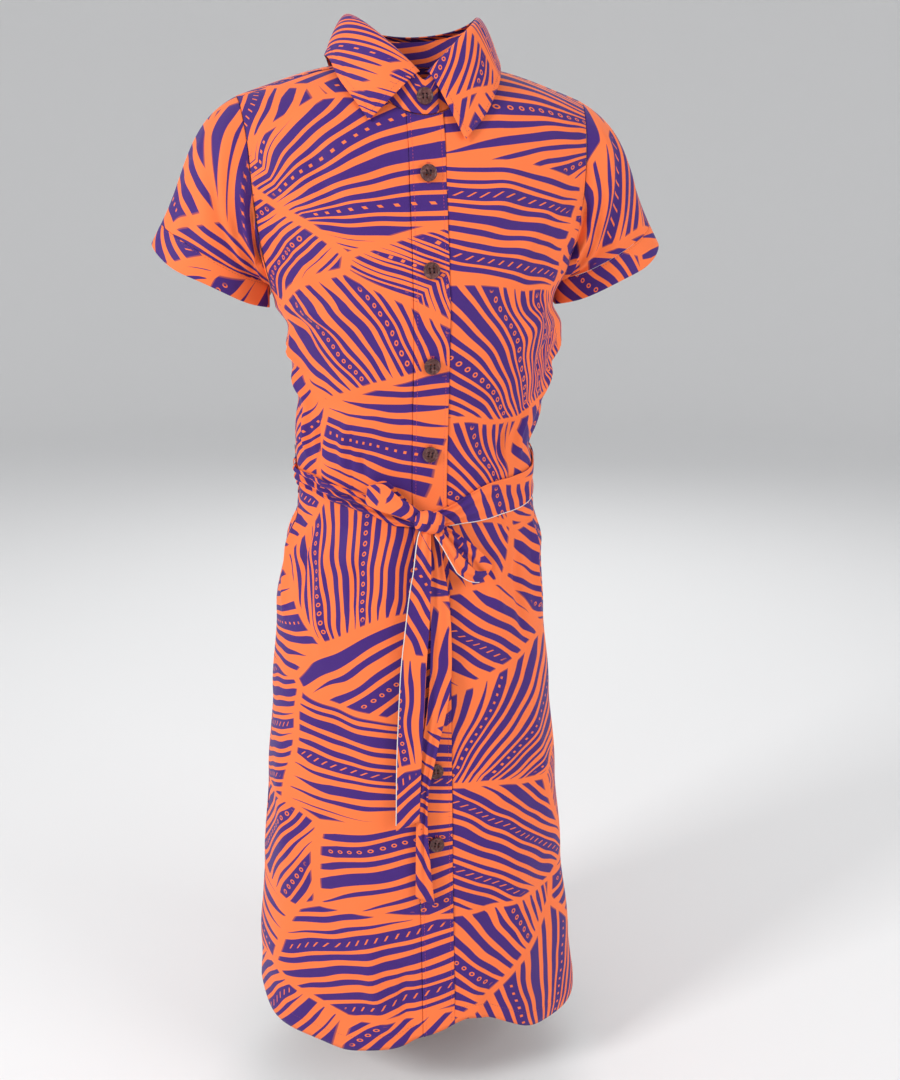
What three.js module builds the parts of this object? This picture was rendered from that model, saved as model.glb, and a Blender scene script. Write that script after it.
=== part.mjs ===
// Shirt dress with a tied belt, in the hollow form that it has when it is worn.
// Millimetres, +Z up. The front faces -Y and the wearer's left is +X. The origin is at the
// base of the neck, level with the points where the shoulder seams meet the collar.

import * as THREE from 'three';

// ---- Driving sizes ---------------------------------------------------------------------

const CLOTH = 1.3;            // wall of one panel
const BAND_CLOTH = 1.5;       // wall of a doubled strip: front bands, cuffs, collar, belt
const SEAM = 0.3;             // space left between two sewn pieces
const BODICE_POWER = 2.3;     // 2 is an ellipse, more is squarer
const HEM_POWER = 2.0;

const NECK_HALF = 72;         // half width of the neck seam at the shoulder
const SHOULDER_HALF = 177;    // half width between the shoulder tips
const SHOULDER_FALL = 31;     // the shoulder falls this far from the neck to its tip
const SHOULDER_Y = 6;         // the shoulder ridge lies this far behind the origin
const SHOULDER_ROLL = 85;     // radius over which the cloth turns over the shoulder
const NECK_DROP_FRONT = 100;  // along the cloth, from the ridge to the neck seam in front
const NECK_DROP_BACK = 58;    // and behind
const NECK_CROWN = 24;        // how far the nape stands above the straight ridge
const YOKE_FRONT = 26;        // the yoke's front seam, along the cloth from the ridge
const YOKE_BACK_ARM = 125;    // the yoke's back seam, at the armhole
const YOKE_BACK_CENTRE = 150; // and at the centre back
const UNDERARM_LEVEL = -232;
const HEM_LEVEL = -1040;
const HEM_LIFT = 21;          // the hem rises this much at the front edges
const BAND_HALF = 17.5;       // half width of the front bands

const BELT_HEIGHT = 36;
const BELT_SIDE_LEVEL = -408;
const BELT_FRONT_LEVEL = -446;
const BUTTON_RADIUS = 8;
const BUTTON_HEIGHT = 2.6;
const FIRST_BUTTON_LEVEL = -106;
const WAIST_BUTTON_LEVEL = -377;
const LAST_BUTTON_LEVEL = -795;

const FABRIC = { color: 0xfe8b5a, roughness: 0.72, metalness: 0 };
const SHELL_BROWN = { color: 0x3a2320, roughness: 0.35, metalness: 0 };

// The body's level sections: half width, and how far the cloth lies before and behind the axis.
// Above the underarm the half width is that of a torso with shoulders, cut off by the armhole.
const SECTIONS = [
  { level: 30, half: 208, front: 74, back: 78 },
  { level: 0, half: 207, front: 80, back: 82 },
  { level: -52, half: 206, front: 87, back: 90 },
  { level: -106, half: 196, front: 98, back: 97 },
  { level: -150, half: 180, front: 107, back: 100 },
  { level: -190, half: 163, front: 115, back: 98 },
  { level: -232, half: 146, front: 120, back: 94 },
  { level: -270, half: 144, front: 119, back: 90 },
  { level: -300, half: 141, front: 115, back: 86 },
  { level: -337, half: 134, front: 108, back: 82 },
  { level: -381, half: 129, front: 101, back: 78 },
  { level: -420, half: 126, front: 98, back: 77 },
  { level: -448, half: 129, front: 102, back: 82 },
  { level: -494, half: 141, front: 113, back: 97 },
  { level: -564, half: 149, front: 121, back: 110 },
  { level: -660, half: 157, front: 127, back: 117 },
  { level: -760, half: 165, front: 132, back: 123 },
  { level: -864, half: 174, front: 138, back: 129 },
  { level: -972, half: 184, front: 146, back: 137 },
  { level: -1045, half: 189, front: 151, back: 142 },
];

// Half width between the armhole seams, by length along the cloth from the shoulder ridge.
const ARMHOLE = [
  { along: 0, front: 177, back: 177 },
  { along: 60, front: 172, back: 174 },
  { along: 110, front: 168, back: 172 },
  { along: 170, front: 165, back: 169 },
  { along: 215, front: 160.5, back: 163 },
  { along: 248, front: 154, back: 156 },
  { along: 270, front: 148.5, back: 149.5 },
  { along: 280.5, front: 146, back: 146 },
];

// Soft folds of the body: place round the dress in degrees from the centre front towards the
// wearer's left, the levels between which the fold grows to its full depth, and its width.
const FOLDS = [
  { at: -60, start: -470, full: -1040, depth: 7, width: 13 },
  { at: -24, start: -520, full: -1040, depth: 5, width: 11 },
  { at: 30, start: -480, full: -1000, depth: 6, width: 12 },
  { at: 66, start: -520, full: -1040, depth: 6, width: 12 },
  { at: 118, start: -470, full: -1040, depth: 7, width: 13 },
  { at: 152, start: -520, full: -1020, depth: 6, width: 12 },
  { at: 205, start: -480, full: -1040, depth: 7, width: 13 },
  { at: 240, start: -470, full: -1010, depth: 6, width: 12 },
  { at: -74, start: -300, full: -395, depth: 5, width: 9 },
  { at: -48, start: -320, full: -400, depth: 3.5, width: 8 },
  { at: 58, start: -300, full: -395, depth: 4, width: 9 },
  { at: 132, start: -300, full: -395, depth: 5, width: 11 },
  { at: 180, start: -290, full: -395, depth: 4, width: 11 },
  { at: 226, start: -300, full: -395, depth: 5, width: 11 },
];

// The collar's outer edge: turn round the neck in degrees from the centre front, half width,
// length along the cloth from the ridge (in front below zero) and height above the cloth.
const COLLAR_EDGE_RIGHT = [
  { turn: 0, half: 58, along: -106, lift: 2.6 },
  { turn: 40, half: 77, along: -67, lift: 5 },
  { turn: 70, half: 84, along: -28, lift: 9 },
  { turn: 95, half: 85, along: 6, lift: 11 },
  { turn: 135, half: 66, along: 62, lift: 8 },
  { turn: 180, half: 0, along: 88, lift: 5 },
];
const COLLAR_EDGE_LEFT = [
  { turn: 0, half: 33, along: -122, lift: 2.6 },
  { turn: 28, half: 58, along: -96, lift: 3.6 },
  { turn: 52, half: 77, along: -62, lift: 6 },
  { turn: 74, half: 84, along: -24, lift: 9 },
  { turn: 95, half: 85, along: 6, lift: 11 },
  { turn: 135, half: 66, along: 62, lift: 8 },
  { turn: 180, half: 0, along: 88, lift: 5 },
];

// ---- Small helpers ---------------------------------------------------------------------

const radians = THREE.MathUtils.degToRad;
const lerp = THREE.MathUtils.lerp;
const vec = (x, y, z) => new THREE.Vector3(x, y, z);
const smooth = (from, to, value) => {
  const t = THREE.MathUtils.clamp((value - from) / (to - from), 0, 1);
  return t * t * (3 - 2 * t);
};
const steps = (count) => Array.from({ length: count + 1 }, (_, i) => i / count);

/** Smooth value of one column of a table at a key, the table sorted on the key either way. */
function lookUp(table, keyName, key, column) {
  const rising = table[table.length - 1][keyName] > table[0][keyName];
  const rows = rising ? table : [...table].reverse();
  const last = rows.length - 1;
  let i = 0;
  while (i < last - 1 && key > rows[i + 1][keyName]) i += 1;
  const slope = (k) => {
    const a = rows[Math.max(k - 1, 0)];
    const b = rows[Math.min(k + 1, last)];
    return (b[column] - a[column]) / (b[keyName] - a[keyName]);
  };
  const [low, high] = [rows[i], rows[i + 1]];
  const span = high[keyName] - low[keyName];
  const t = THREE.MathUtils.clamp((key - low[keyName]) / span, 0, 1);
  const t2 = t * t;
  const t3 = t2 * t;
  return (2 * t3 - 3 * t2 + 1) * low[column] + (t3 - 2 * t2 + t) * span * slope(i)
    + (3 * t2 - 2 * t3) * high[column] + (t3 - t2) * span * slope(i + 1);
}

// ---- The body's surface ----------------------------------------------------------------

/** Level on the centre line, from the length along the cloth below the shoulder ridge. */
function levelOf(along) {
  const quarter = SHOULDER_ROLL * Math.PI / 2;
  return along < quarter
    ? -SHOULDER_ROLL * (1 - Math.cos(along / SHOULDER_ROLL))
    : -(along - quarter + SHOULDER_ROLL);
}

/** Length along the cloth below the shoulder ridge, from the level on the centre line. */
function alongOf(level) {
  return level > -SHOULDER_ROLL
    ? SHOULDER_ROLL * Math.acos(1 + level / SHOULDER_ROLL)
    : SHOULDER_ROLL * (Math.PI / 2 - 1) - level;
}

/** How far the dress stands over to the wearer's left at a level: out at the bust, back below. */
function leanAt(level) {
  const bust = 11 * smooth(UNDERARM_LEVEL, -285, level) * (1 - smooth(-335, -400, level));
  const hips = 7 * smooth(-450, -560, level) * (1 - 0.6 * smooth(-860, HEM_LEVEL, level));
  return bust - hips;
}

/** Half width of the dress on the wearer's left (1) or right (-1). */
function halfAt(level, side) {
  return lookUp(SECTIONS, 'level', level, 'half') + side * leanAt(level);
}

/** Squareness of the level section, which rounds off towards the hem. */
const powerAt = (level) => lerp(BODICE_POWER, HEM_POWER, smooth(-600, -1000, level));

/** Turn round the body, in radians from the centre line of its side, where x is reached. */
function turnOf(x, along) {
  const level = levelOf(along);
  const share = Math.min(Math.abs(x) / halfAt(level, Math.sign(x)), 1);
  return Math.sign(x) * Math.asin(share ** (powerAt(level) / 2));
}

function foldDepth(turn, level) {
  const degrees = THREE.MathUtils.radToDeg(turn);
  let depth = 0;
  for (const fold of FOLDS) {
    const away = ((degrees - fold.at + 540) % 360) - 180;
    const grown = smooth(fold.start, fold.full, level);
    const fades = fold.full > -500 ? smooth(fold.full - 75, fold.full - 20, level) : 1;
    depth += fold.depth * grown * fades * Math.exp(-((away / fold.width) ** 2));
  }
  return depth;
}

/**
 * Position on the body's outer face. The turn runs from the centre front towards the wearer's
 * left, in radians, 90 degrees at the side seam; the length runs down from the ridge.
 */
function skin(turn, along) {
  const level = levelOf(along);
  const half = halfAt(level, Math.sign(Math.sin(turn)));
  const isFront = Math.cos(turn) > 0;
  const depth = lookUp(SECTIONS, 'level', level, isFront ? 'front' : 'back');
  const power = 2 / powerAt(level);
  const sine = Math.sin(turn);
  const cosine = Math.cos(turn);
  const x = half * Math.sign(sine) * Math.abs(sine) ** power;
  const bare = -depth * Math.sign(cosine) * Math.abs(cosine) ** power;
  const roll = level < -SHOULDER_ROLL ? 1 : Math.sin(along / SHOULDER_ROLL);
  const y = SHOULDER_Y * (1 - roll) + bare * roll;
  const outward = Math.max(Math.abs(x) - NECK_HALF, 0);
  const crown = isFront ? 0 : NECK_CROWN * Math.max(1 - (x / NECK_HALF) ** 2, 0);
  const nape = crown * smooth(0, NECK_DROP_BACK, along) * (1 - smooth(60, 260, along));
  const fade = 1 - smooth(20, 240, along);
  const fall = SHOULDER_FALL * (outward / (SHOULDER_HALF - NECK_HALF)) ** 1.35;
  const z = level - fall * fade + nape;
  const away = vec(x / half ** 2, y / depth ** 2, 0).normalize();
  return vec(x, y, z).addScaledVector(away, foldDepth(turn, level));
}

/** Surface point: its position, raised by a lift, and its outward normal. */
function body(turn, along, lift = 0) {
  const dTurn = 0.01;
  const dAlong = 1;
  const across = skin(turn + dTurn, along).sub(skin(turn - dTurn, along));
  const down = skin(turn, along + dAlong).sub(skin(turn, Math.max(along - dAlong, 0)));
  const n = down.cross(across).normalize();
  return { p: skin(turn, along).addScaledVector(n, lift), n };
}

/** The neck seam: turn 0 at the centre front, 90 at the shoulder and 180 at the nape. */
function neckSeam(turn) {
  const drop = Math.cos(turn) > 0 ? -NECK_DROP_FRONT : NECK_DROP_BACK;
  return { x: NECK_HALF * Math.sin(turn), along: drop * Math.abs(Math.cos(turn)) ** 1.15 };
}

const neckTurnAtYoke = Math.acos((YOKE_FRONT / NECK_DROP_FRONT) ** (1 / 1.15));
const neckTurnAtBand = Math.asin(BAND_HALF / NECK_HALF);
const underarmAlong = alongOf(UNDERARM_LEVEL);
const hemAlong = alongOf(HEM_LEVEL);

function armholeTurn(along, side) {
  return turnOf(lookUp(ARMHOLE, 'along', along, side), along);
}

/** Length down to the hem, which rises near the front edges. */
function hemAt(turn) {
  const toSide = smooth(0.1, 1.0, Math.abs(turn));
  return hemAlong - HEM_LIFT * (1 - toSide);
}

// ---- Walls from grids of points --------------------------------------------------------

/** Surface points from bare positions whose rows run downward and whose columns run to the left. */
function withNormals(rows, closed = false) {
  const height = rows.length;
  const width = rows[0].length;
  const wrap = (j) => (closed ? (j + width) % width : THREE.MathUtils.clamp(j, 0, width - 1));
  return rows.map((row, i) => row.map((p, j) => {
    const above = rows[Math.max(i - 1, 0)][j];
    const below = rows[Math.min(i + 1, height - 1)][j];
    const across = vec().subVectors(row[wrap(j + 1)], row[wrap(j - 1)]);
    return { p, n: vec().subVectors(below, above).cross(across).normalize() };
  }));
}

/** Closed wall of an even thickness behind a grid of surface points on its outer face. */
function wall(rows, thickness, closed = false) {
  const outer = rows.map((row) => row.map(({ p }) => p));
  const inner = rows.map((row) => row.map(({ p, n }) => p.clone().addScaledVector(n, -thickness)));
  const width = rows[0].length;
  const height = rows.length;
  const positions = [];
  for (const layer of [outer, inner]) {
    for (const row of layer) for (const p of row) positions.push(p.x, p.y, p.z);
  }
  const outside = (i, j) => i * width + (j % width);
  const inside = (i, j) => height * width + outside(i, j);
  const index = [];
  const quad = (a, b, c, d) => index.push(a, b, c, a, c, d);
  const lastColumn = closed ? width : width - 1;
  for (let i = 0; i < height - 1; i += 1) {
    for (let j = 0; j < lastColumn; j += 1) {
      quad(outside(i, j), outside(i + 1, j), outside(i + 1, j + 1), outside(i, j + 1));
      quad(inside(i, j), inside(i, j + 1), inside(i + 1, j + 1), inside(i + 1, j));
    }
    if (!closed) {
      quad(outside(i, 0), inside(i, 0), inside(i + 1, 0), outside(i + 1, 0));
      quad(outside(i, width - 1), outside(i + 1, width - 1), inside(i + 1, width - 1), inside(i, width - 1));
    }
  }
  for (let j = 0; j < lastColumn; j += 1) {
    quad(outside(0, j), outside(0, j + 1), inside(0, j + 1), inside(0, j));
    quad(outside(height - 1, j), inside(height - 1, j), inside(height - 1, j + 1), outside(height - 1, j + 1));
  }
  const geometry = new THREE.BufferGeometry();
  geometry.setAttribute('position', new THREE.Float32BufferAttribute(positions, 3));
  geometry.setIndex(index);
  geometry.computeVertexNormals();
  return geometry;
}

const acrossCentre = (v) => vec(-v.x, v.y, v.z);
const mirroredPoint = ({ p, n }) => ({ p: acrossCentre(p), n: acrossCentre(n) });
const mirrored = (rows) => rows.map((row) => [...row].reverse().map(mirroredPoint));

const group = new THREE.Group();

function add(name, geometry, look = FABRIC) {
  const mesh = new THREE.Mesh(geometry, new THREE.MeshStandardMaterial(look));
  mesh.name = name;
  group.add(mesh);
  return mesh;
}

// ---- Fronts and back -------------------------------------------------------------------

const ARMHOLE_STEPS = 8;
const NECK_STEPS = 4;
const FRONT_COLUMNS = 10;
const BACK_COLUMNS = 20;

// Levels of the rows below the underarm, closer together round the waist.
const LOWER_RUNS = [
  { from: UNDERARM_LEVEL, to: -376, count: 6 },
  { from: -376, to: -488, count: 8 },
  { from: -488, to: HEM_LEVEL, count: 14 },
];
const lowerShares = LOWER_RUNS.flatMap(({ from, to, count }) => steps(count).slice(1).map((t) => (
  (alongOf(lerp(from, to, t)) - underarmAlong) / (hemAlong - underarmAlong))));
const halfSeam = (along) => SEAM / 2 / lookUp(SECTIONS, 'level', levelOf(along), 'half');
const frontArmholeAlongs = steps(ARMHOLE_STEPS).map((t) => lerp(YOKE_FRONT + SEAM / 2, underarmAlong, t));
const bandTop = Math.abs(neckSeam(neckTurnAtBand).along);
const bandUpperAlongs = steps(ARMHOLE_STEPS - NECK_STEPS).map((t) => lerp(bandTop, underarmAlong, t));

/** Rows of one front, from the band's seam to the side, for the wearer's left (1) or right (-1). */
function frontRows(side) {
  const edge = BAND_HALF + SEAM / 2;
  const rows = frontArmholeAlongs.map((armAlong, i) => {
    const t = i / NECK_STEPS;
    const neck = neckSeam(lerp(neckTurnAtYoke, neckTurnAtBand, Math.min(t, 1)));
    const along = i < NECK_STEPS ? Math.max(-neck.along, YOKE_FRONT + SEAM / 2) : bandUpperAlongs[i - NECK_STEPS];
    const inner = turnOf(i < NECK_STEPS ? neck.x : edge, along);
    const limit = i === ARMHOLE_STEPS ? Math.PI / 2 - halfSeam(armAlong) : armholeTurn(armAlong, 'front');
    return steps(FRONT_COLUMNS).map((u) => body(side * lerp(inner, limit, u), lerp(along, armAlong, u)));
  });
  for (const share of lowerShares) {
    rows.push(steps(FRONT_COLUMNS).map((u) => {
      const middle = lerp(underarmAlong, hemAlong, share);
      const inner = Math.abs(turnOf(side * edge, middle));
      const turn = lerp(inner, Math.PI / 2 - halfSeam(middle), u);
      return body(side * turn, lerp(underarmAlong, hemAt(turn), share));
    }));
  }
  return side > 0 ? rows : rows.map((row) => row.reverse());
}

const BAND_DROP = 0.9;        // the bands' tops stay this far below the neck seam

/** Rows of a band down the centre front, at a height above or below the fronts' outer face. */
function bandRows(lift) {
  const edge = BAND_HALF - SEAM / 2;
  const columns = [-1, -0.35, 0.35, 1];
  const upper = bandUpperAlongs.map((along) => columns.map((c) => {
    const top = Math.abs(neckSeam(Math.asin(c * edge / NECK_HALF)).along) + BAND_DROP;
    const length = along === bandTop ? top : along;
    return body(turnOf(c * edge, length), length, lift);
  }));
  const lower = lowerShares.map((share) => columns.map((c) => {
    const middle = lerp(underarmAlong, hemAlong, share);
    const turn = turnOf(c * edge, middle);
    return body(turn, lerp(underarmAlong, hemAt(turn), share), lift);
  }));
  return [...upper, ...lower];
}

const BAND_LIFT = 1.3;                                       // the buttonhole band lies over
const UNDER_LIFT = BAND_LIFT - BAND_CLOTH - SEAM - 0.1;      // and the button band under it

const BACK_ARM_STEPS = 6;
const backUpperAlongs = steps(BACK_ARM_STEPS).map((t) => lerp(YOKE_BACK_ARM + SEAM / 2, underarmAlong, t));

/** Length down to the yoke's back seam, by share of the way in from the armhole. */
const yokeSeamAlong = (inward) => lerp(YOKE_BACK_ARM, YOKE_BACK_CENTRE, inward);

function backRows() {
  const row = (limit, alongAt) => steps(BACK_COLUMNS).map((u) => (
    body(lerp(limit, 2 * Math.PI - limit, u), alongAt(1 - Math.abs(2 * u - 1)))));
  const upper = backUpperAlongs.map((along, i) => {
    const isUnderarm = i === BACK_ARM_STEPS;
    const limit = isUnderarm ? Math.PI / 2 + halfSeam(along) : Math.PI - armholeTurn(along, 'back');
    return row(limit, (inward) => lerp(yokeSeamAlong(inward) + SEAM / 2, underarmAlong, i / BACK_ARM_STEPS));
  });
  const lower = lowerShares.map((share) => {
    const along = lerp(underarmAlong, hemAlong, share);
    return row(Math.PI / 2 + halfSeam(along), () => along);
  });
  return [...upper, ...lower];
}

add('front_right', wall(frontRows(-1), CLOTH));
add('front_left', wall(frontRows(1), CLOTH));
add('band_right', wall(bandRows(BAND_LIFT), BAND_CLOTH));
add('band_left', wall(bandRows(UNDER_LIFT), BAND_CLOTH));
add('back', wall(backRows(), CLOTH));

// ---- Yoke over the shoulders -----------------------------------------------------------

const YOKE_ARM_STEPS = 5;
const YOKE_BACK_STEPS = BACK_COLUMNS / 2;
const yokeArmAlongs = steps(YOKE_ARM_STEPS).map((t) => lerp(-YOKE_FRONT + SEAM / 2, YOKE_BACK_ARM - SEAM / 2, t));

/** Point over the shoulder: the turn is from the nearer centre line, the length below zero in front. */
function overShoulder(turn, along, lift = 0) {
  return body(along > 0 ? Math.PI - turn : turn, Math.abs(along), lift);
}

/** The yoke from the neck seam outward, its columns from the front seam round the back to the other. */
function yokeRows() {
  const count = YOKE_ARM_STEPS + YOKE_BACK_STEPS;
  const armTurnAtSeam = armholeTurn(YOKE_BACK_ARM - SEAM / 2, 'back');
  const rays = steps(count).map((share, k) => {
    const inward = Math.max(k - YOKE_ARM_STEPS, 0) / YOKE_BACK_STEPS;
    const along = k > YOKE_ARM_STEPS ? yokeSeamAlong(inward) - SEAM / 2 : yokeArmAlongs[k];
    const armTurn = armholeTurn(Math.abs(along), along < 0 ? 'front' : 'back');
    const seam = neckSeam(lerp(neckTurnAtYoke, Math.PI, share));
    const neckAlong = k === 0 ? along : seam.along;
    return {
      outerTurn: k > YOKE_ARM_STEPS ? armTurnAtSeam * (1 - inward) : armTurn,
      outerAlong: along,
      neckTurn: turnOf(seam.x, Math.abs(neckAlong)),
      neckAlong,
    };
  });
  const point = (ray, t, side) => {
    const turn = lerp(ray.neckTurn, ray.outerTurn, t);
    const place = overShoulder(turn, lerp(ray.neckAlong, ray.outerAlong, t));
    return side > 0 ? place : mirroredPoint(place);
  };
  return steps(FRONT_COLUMNS).map((t) => [
    ...rays.map((ray) => point(ray, t, 1)),
    ...rays.slice(0, -1).reverse().map((ray) => point(ray, t, -1)),
  ]);
}

add('yoke', wall(yokeRows(), CLOTH));

// ---- Sleeves and their bands -----------------------------------------------------------

const SLEEVE_ROWS = 6;
const SLEEVE_AXIS = vec(0.496, 0, -0.868);
const CUFF_SEAM_RING = { x: 202.2, y: 5, z: -181.3, across: 57, deep: 44, droop: 6 };
const CUFF_EDGE_RING = { x: 208.5, y: 5, z: -203.5, across: 63, deep: 45, droop: 8 };

/** Armhole of the wearer's left side, from the underarm up the front, over, and down the back. */
function armholeLoop() {
  const front = frontArmholeAlongs.slice(0, -1).reverse().map((along) => ({ along: -along, side: 'front' }));
  const over = yokeArmAlongs.map((along) => ({ along, side: along < 0 ? 'front' : 'back' }));
  const back = backUpperAlongs.slice(0, -1).map((along) => ({ along, side: 'back' }));
  const points = [...front, ...over, ...back].map(({ along, side }) => (
    overShoulder(armholeTurn(Math.abs(along), side), along).p));
  return [body(Math.PI / 2, underarmAlong).p, ...points];
}

/** Share of the way round the armhole at each of its points, 0.5 at the shoulder tip. */
function loopShares(loop) {
  const top = loop.reduce((best, p, i) => (p.z > loop[best].z ? i : best), 0);
  const lengths = loop.map((p, i) => p.distanceTo(loop[(i + 1) % loop.length]));
  const travelled = [0];
  for (const length of lengths) travelled.push(travelled[travelled.length - 1] + length);
  const whole = travelled[loop.length];
  return loop.map((_, i) => (i <= top
    ? 0.5 * travelled[i] / travelled[top]
    : 0.5 + 0.5 * (travelled[i] - travelled[top]) / (whole - travelled[top])));
}

/** Point of a ring across the sleeve: share 0 at the underarm, 0.25 in front, 0.5 on top. */
function ringPoint(ring, share) {
  const angle = share * 2 * Math.PI;
  const inward = ring.across * Math.cos(angle);
  return vec(
    ring.x + SLEEVE_AXIS.z * inward,
    ring.y - ring.deep * Math.sin(angle),
    ring.z - SLEEVE_AXIS.x * inward - ring.droop * Math.sin(angle),
  );
}

const armhole = armholeLoop();
const armholeShares = loopShares(armhole);

/** How the sleeve leaves the armhole: down the slope on top, outward and up at the underarm. */
function leaving(share) {
  const top = 0.5 - 0.5 * Math.cos(share * 2 * Math.PI);
  return vec(0.85, -0.25 * Math.sin(share * 2 * Math.PI), lerp(0.35, -0.42, top)).normalize();
}

function sleevePoint(start, share, t) {
  const end = ringPoint(CUFF_SEAM_RING, share);
  const chord = start.distanceTo(end);
  const t2 = t * t;
  const t3 = t2 * t;
  const top = 0.5 - 0.5 * Math.cos(share * 2 * Math.PI);
  const fullness = lerp(0.6, 1.6, top);
  return start.clone().multiplyScalar(2 * t3 - 3 * t2 + 1)
    .addScaledVector(leaving(share), (t3 - 2 * t2 + t) * chord * fullness)
    .addScaledVector(end, 3 * t2 - 2 * t3)
    .addScaledVector(SLEEVE_AXIS, (t3 - t2) * chord * fullness);
}

function sleeveRows() {
  return withNormals(steps(SLEEVE_ROWS).map((t) => armhole.map((p, i) => {
    const share = armholeShares[i];
    const start = p.clone().addScaledVector(leaving(share), SEAM + 0.1);
    return sleevePoint(start, share, t);
  })), true);
}

function cuffRows() {
  return withNormals(steps(2).map((t) => armholeShares.map((share) => {
    const from = ringPoint(CUFF_SEAM_RING, share).addScaledVector(SLEEVE_AXIS, SEAM + 0.25);
    return from.lerp(ringPoint(CUFF_EDGE_RING, share), t);
  })), true);
}

for (const [side, flip] of [['left', (rows) => rows], ['right', mirrored]]) {
  add(`sleeve_${side}`, wall(flip(sleeveRows()), CLOTH, true));
  add(`cuff_${side}`, wall(flip(cuffRows()), BAND_CLOTH, true));
}

// ---- Collar: a stand round the neck and a leaf turned down over it ----------------------

const STAND_COLUMNS = 40;
const LEAF_COLUMNS = 18;                 // on each side of the nape
const STAND_OVERLAP = radians(11.2);     // each end of the stand runs this far past the centre
const STAND_BELOW_FOLD = 1;
const STAND_SPREAD = 1.0;                // one end lies this far out, the other this far in
const FOLD_HALF = 66;

/** The fold line along the stand's top, by turn from the centre front to the wearer's left. */
function foldLine(turn) {
  const side = Math.abs(Math.sin(turn));
  const cosine = Math.cos(turn);
  const z = cosine > 0 ? -20 + 63 * side : 43 - 13 * (-cosine) ** 1.3;
  return vec(FOLD_HALF * Math.sin(turn), SHOULDER_Y - (cosine > 0 ? 80 : 46) * cosine, z);
}

const awayFromNeck = (turn) => vec(Math.sin(turn), -Math.cos(turn), 0);

function neckPoint(turn) {
  const folded = Math.acos(Math.cos(turn));
  const seam = neckSeam(folded);
  const p = overShoulder(turnOf(seam.x, Math.abs(seam.along)), seam.along).p.clone();
  return Math.sin(turn) < 0 ? acrossCentre(p) : p;
}

function standRows() {
  return withNormals(steps(2).map((t) => steps(STAND_COLUMNS).map((u) => {
    const turn = lerp(-STAND_OVERLAP, 2 * Math.PI + STAND_OVERLAP, u);
    const base = neckPoint(turn).add(vec(0, 0, SEAM + 0.4));
    const spread = lerp(-STAND_SPREAD, STAND_SPREAD, u);
    const top = foldLine(turn).add(vec(0, 0, -STAND_BELOW_FOLD));
    return top.lerp(base, t).addScaledVector(awayFromNeck(turn), spread);
  })));
}

function collarEdgePoint(degrees, isLeft) {
  const table = isLeft ? COLLAR_EDGE_LEFT : COLLAR_EDGE_RIGHT;
  const half = lookUp(table, 'turn', degrees, 'half');
  const along = lookUp(table, 'turn', degrees, 'along');
  const lift = lookUp(table, 'turn', degrees, 'lift');
  const p = overShoulder(turnOf(half, Math.abs(along)), along, lift).p.clone();
  return isLeft ? p : acrossCentre(p);
}

function leafRows() {
  const shares = [...steps(LEAF_COLUMNS), ...steps(LEAF_COLUMNS).slice(0, -1).reverse()];
  const columns = shares.map((share, j) => {
    const isLeft = j <= LEAF_COLUMNS;
    const fromFront = lerp(radians(3), Math.PI, share);
    const turn = isLeft ? fromFront : -fromFront;
    const fold = foldLine(turn);
    const away = awayFromNeck(turn);
    return new THREE.QuadraticBezierCurve3(
      fold.clone().addScaledVector(away, -1.5).add(vec(0, 0, 3.8)),
      fold.clone().addScaledVector(away, 9.5).add(vec(0, 0, 7.5)),
      collarEdgePoint(180 * share, isLeft),
    );
  });
  return withNormals([0, 0.22, 0.46, 0.73, 1].map((t) => columns.map((curve) => curve.getPoint(t))));
}

add('collar_stand', wall(standRows(), BAND_CLOTH));
add('collar', wall(leafRows(), BAND_CLOTH));

// ---- Belt with its knot, bow, tails and carriers -----------------------------------------

const BELT_COLUMNS = 44;
const BELT_CLEAR = 1.2;
const BELT_LIFT = BELT_CLEAR + BAND_CLOTH;
const BELT_OVER_BUTTON = 5;              // extra height where it crosses a button on the band
const KNOT = { x: -5, level: -446, lift: 16.6, width: 13, depth: 8.2, height: 14 };

/** Point over the front, by distance from the centre, level and height above the cloth. */
function overFront(x, level, lift) {
  const along = alongOf(level);
  return body(turnOf(x, along), along, lift).p;
}

function beltLevel(turn) {
  const side = Math.abs(Math.sin(turn));
  return Math.cos(turn) > 0 ? lerp(BELT_FRONT_LEVEL, BELT_SIDE_LEVEL, side) : BELT_SIDE_LEVEL + 3 * (1 - side);
}

function beltRows() {
  return steps(3).map((t) => steps(BELT_COLUMNS).slice(0, -1).map((u) => {
    const turn = 2 * Math.PI * u;
    const along = alongOf(beltLevel(turn) + lerp(BELT_HEIGHT / 2, -BELT_HEIGHT / 2, t));
    const flat = body(turn, along);
    const isFront = Math.cos(turn) > 0;
    const overButton = isFront ? BELT_OVER_BUTTON * (1 - smooth(14, 38, Math.abs(flat.p.x))) : 0;
    return body(turn, along, BELT_LIFT + overButton);
  }));
}

/**
 * Ribbon over the front along stations of { x, level, lift, half }, its width across the given
 * direction of the x and level plane.
 */
function ribbonRows(stations, across, count) {
  const route = new THREE.CatmullRomCurve3(stations.map((s) => vec(s.x, s.level, s.lift)));
  const last = stations.length - 1;
  return withNormals(steps(count).map((t) => {
    const centre = route.getPoint(t);
    const k = Math.min(Math.floor(t * last), last - 1);
    const half = lerp(stations[k].half, stations[k + 1].half, t * last - k);
    return [-1, -0.33, 0.33, 1].map((w) => (
      overFront(centre.x + w * half * across.x, centre.y + w * half * across.y, centre.z)));
  }));
}

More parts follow.
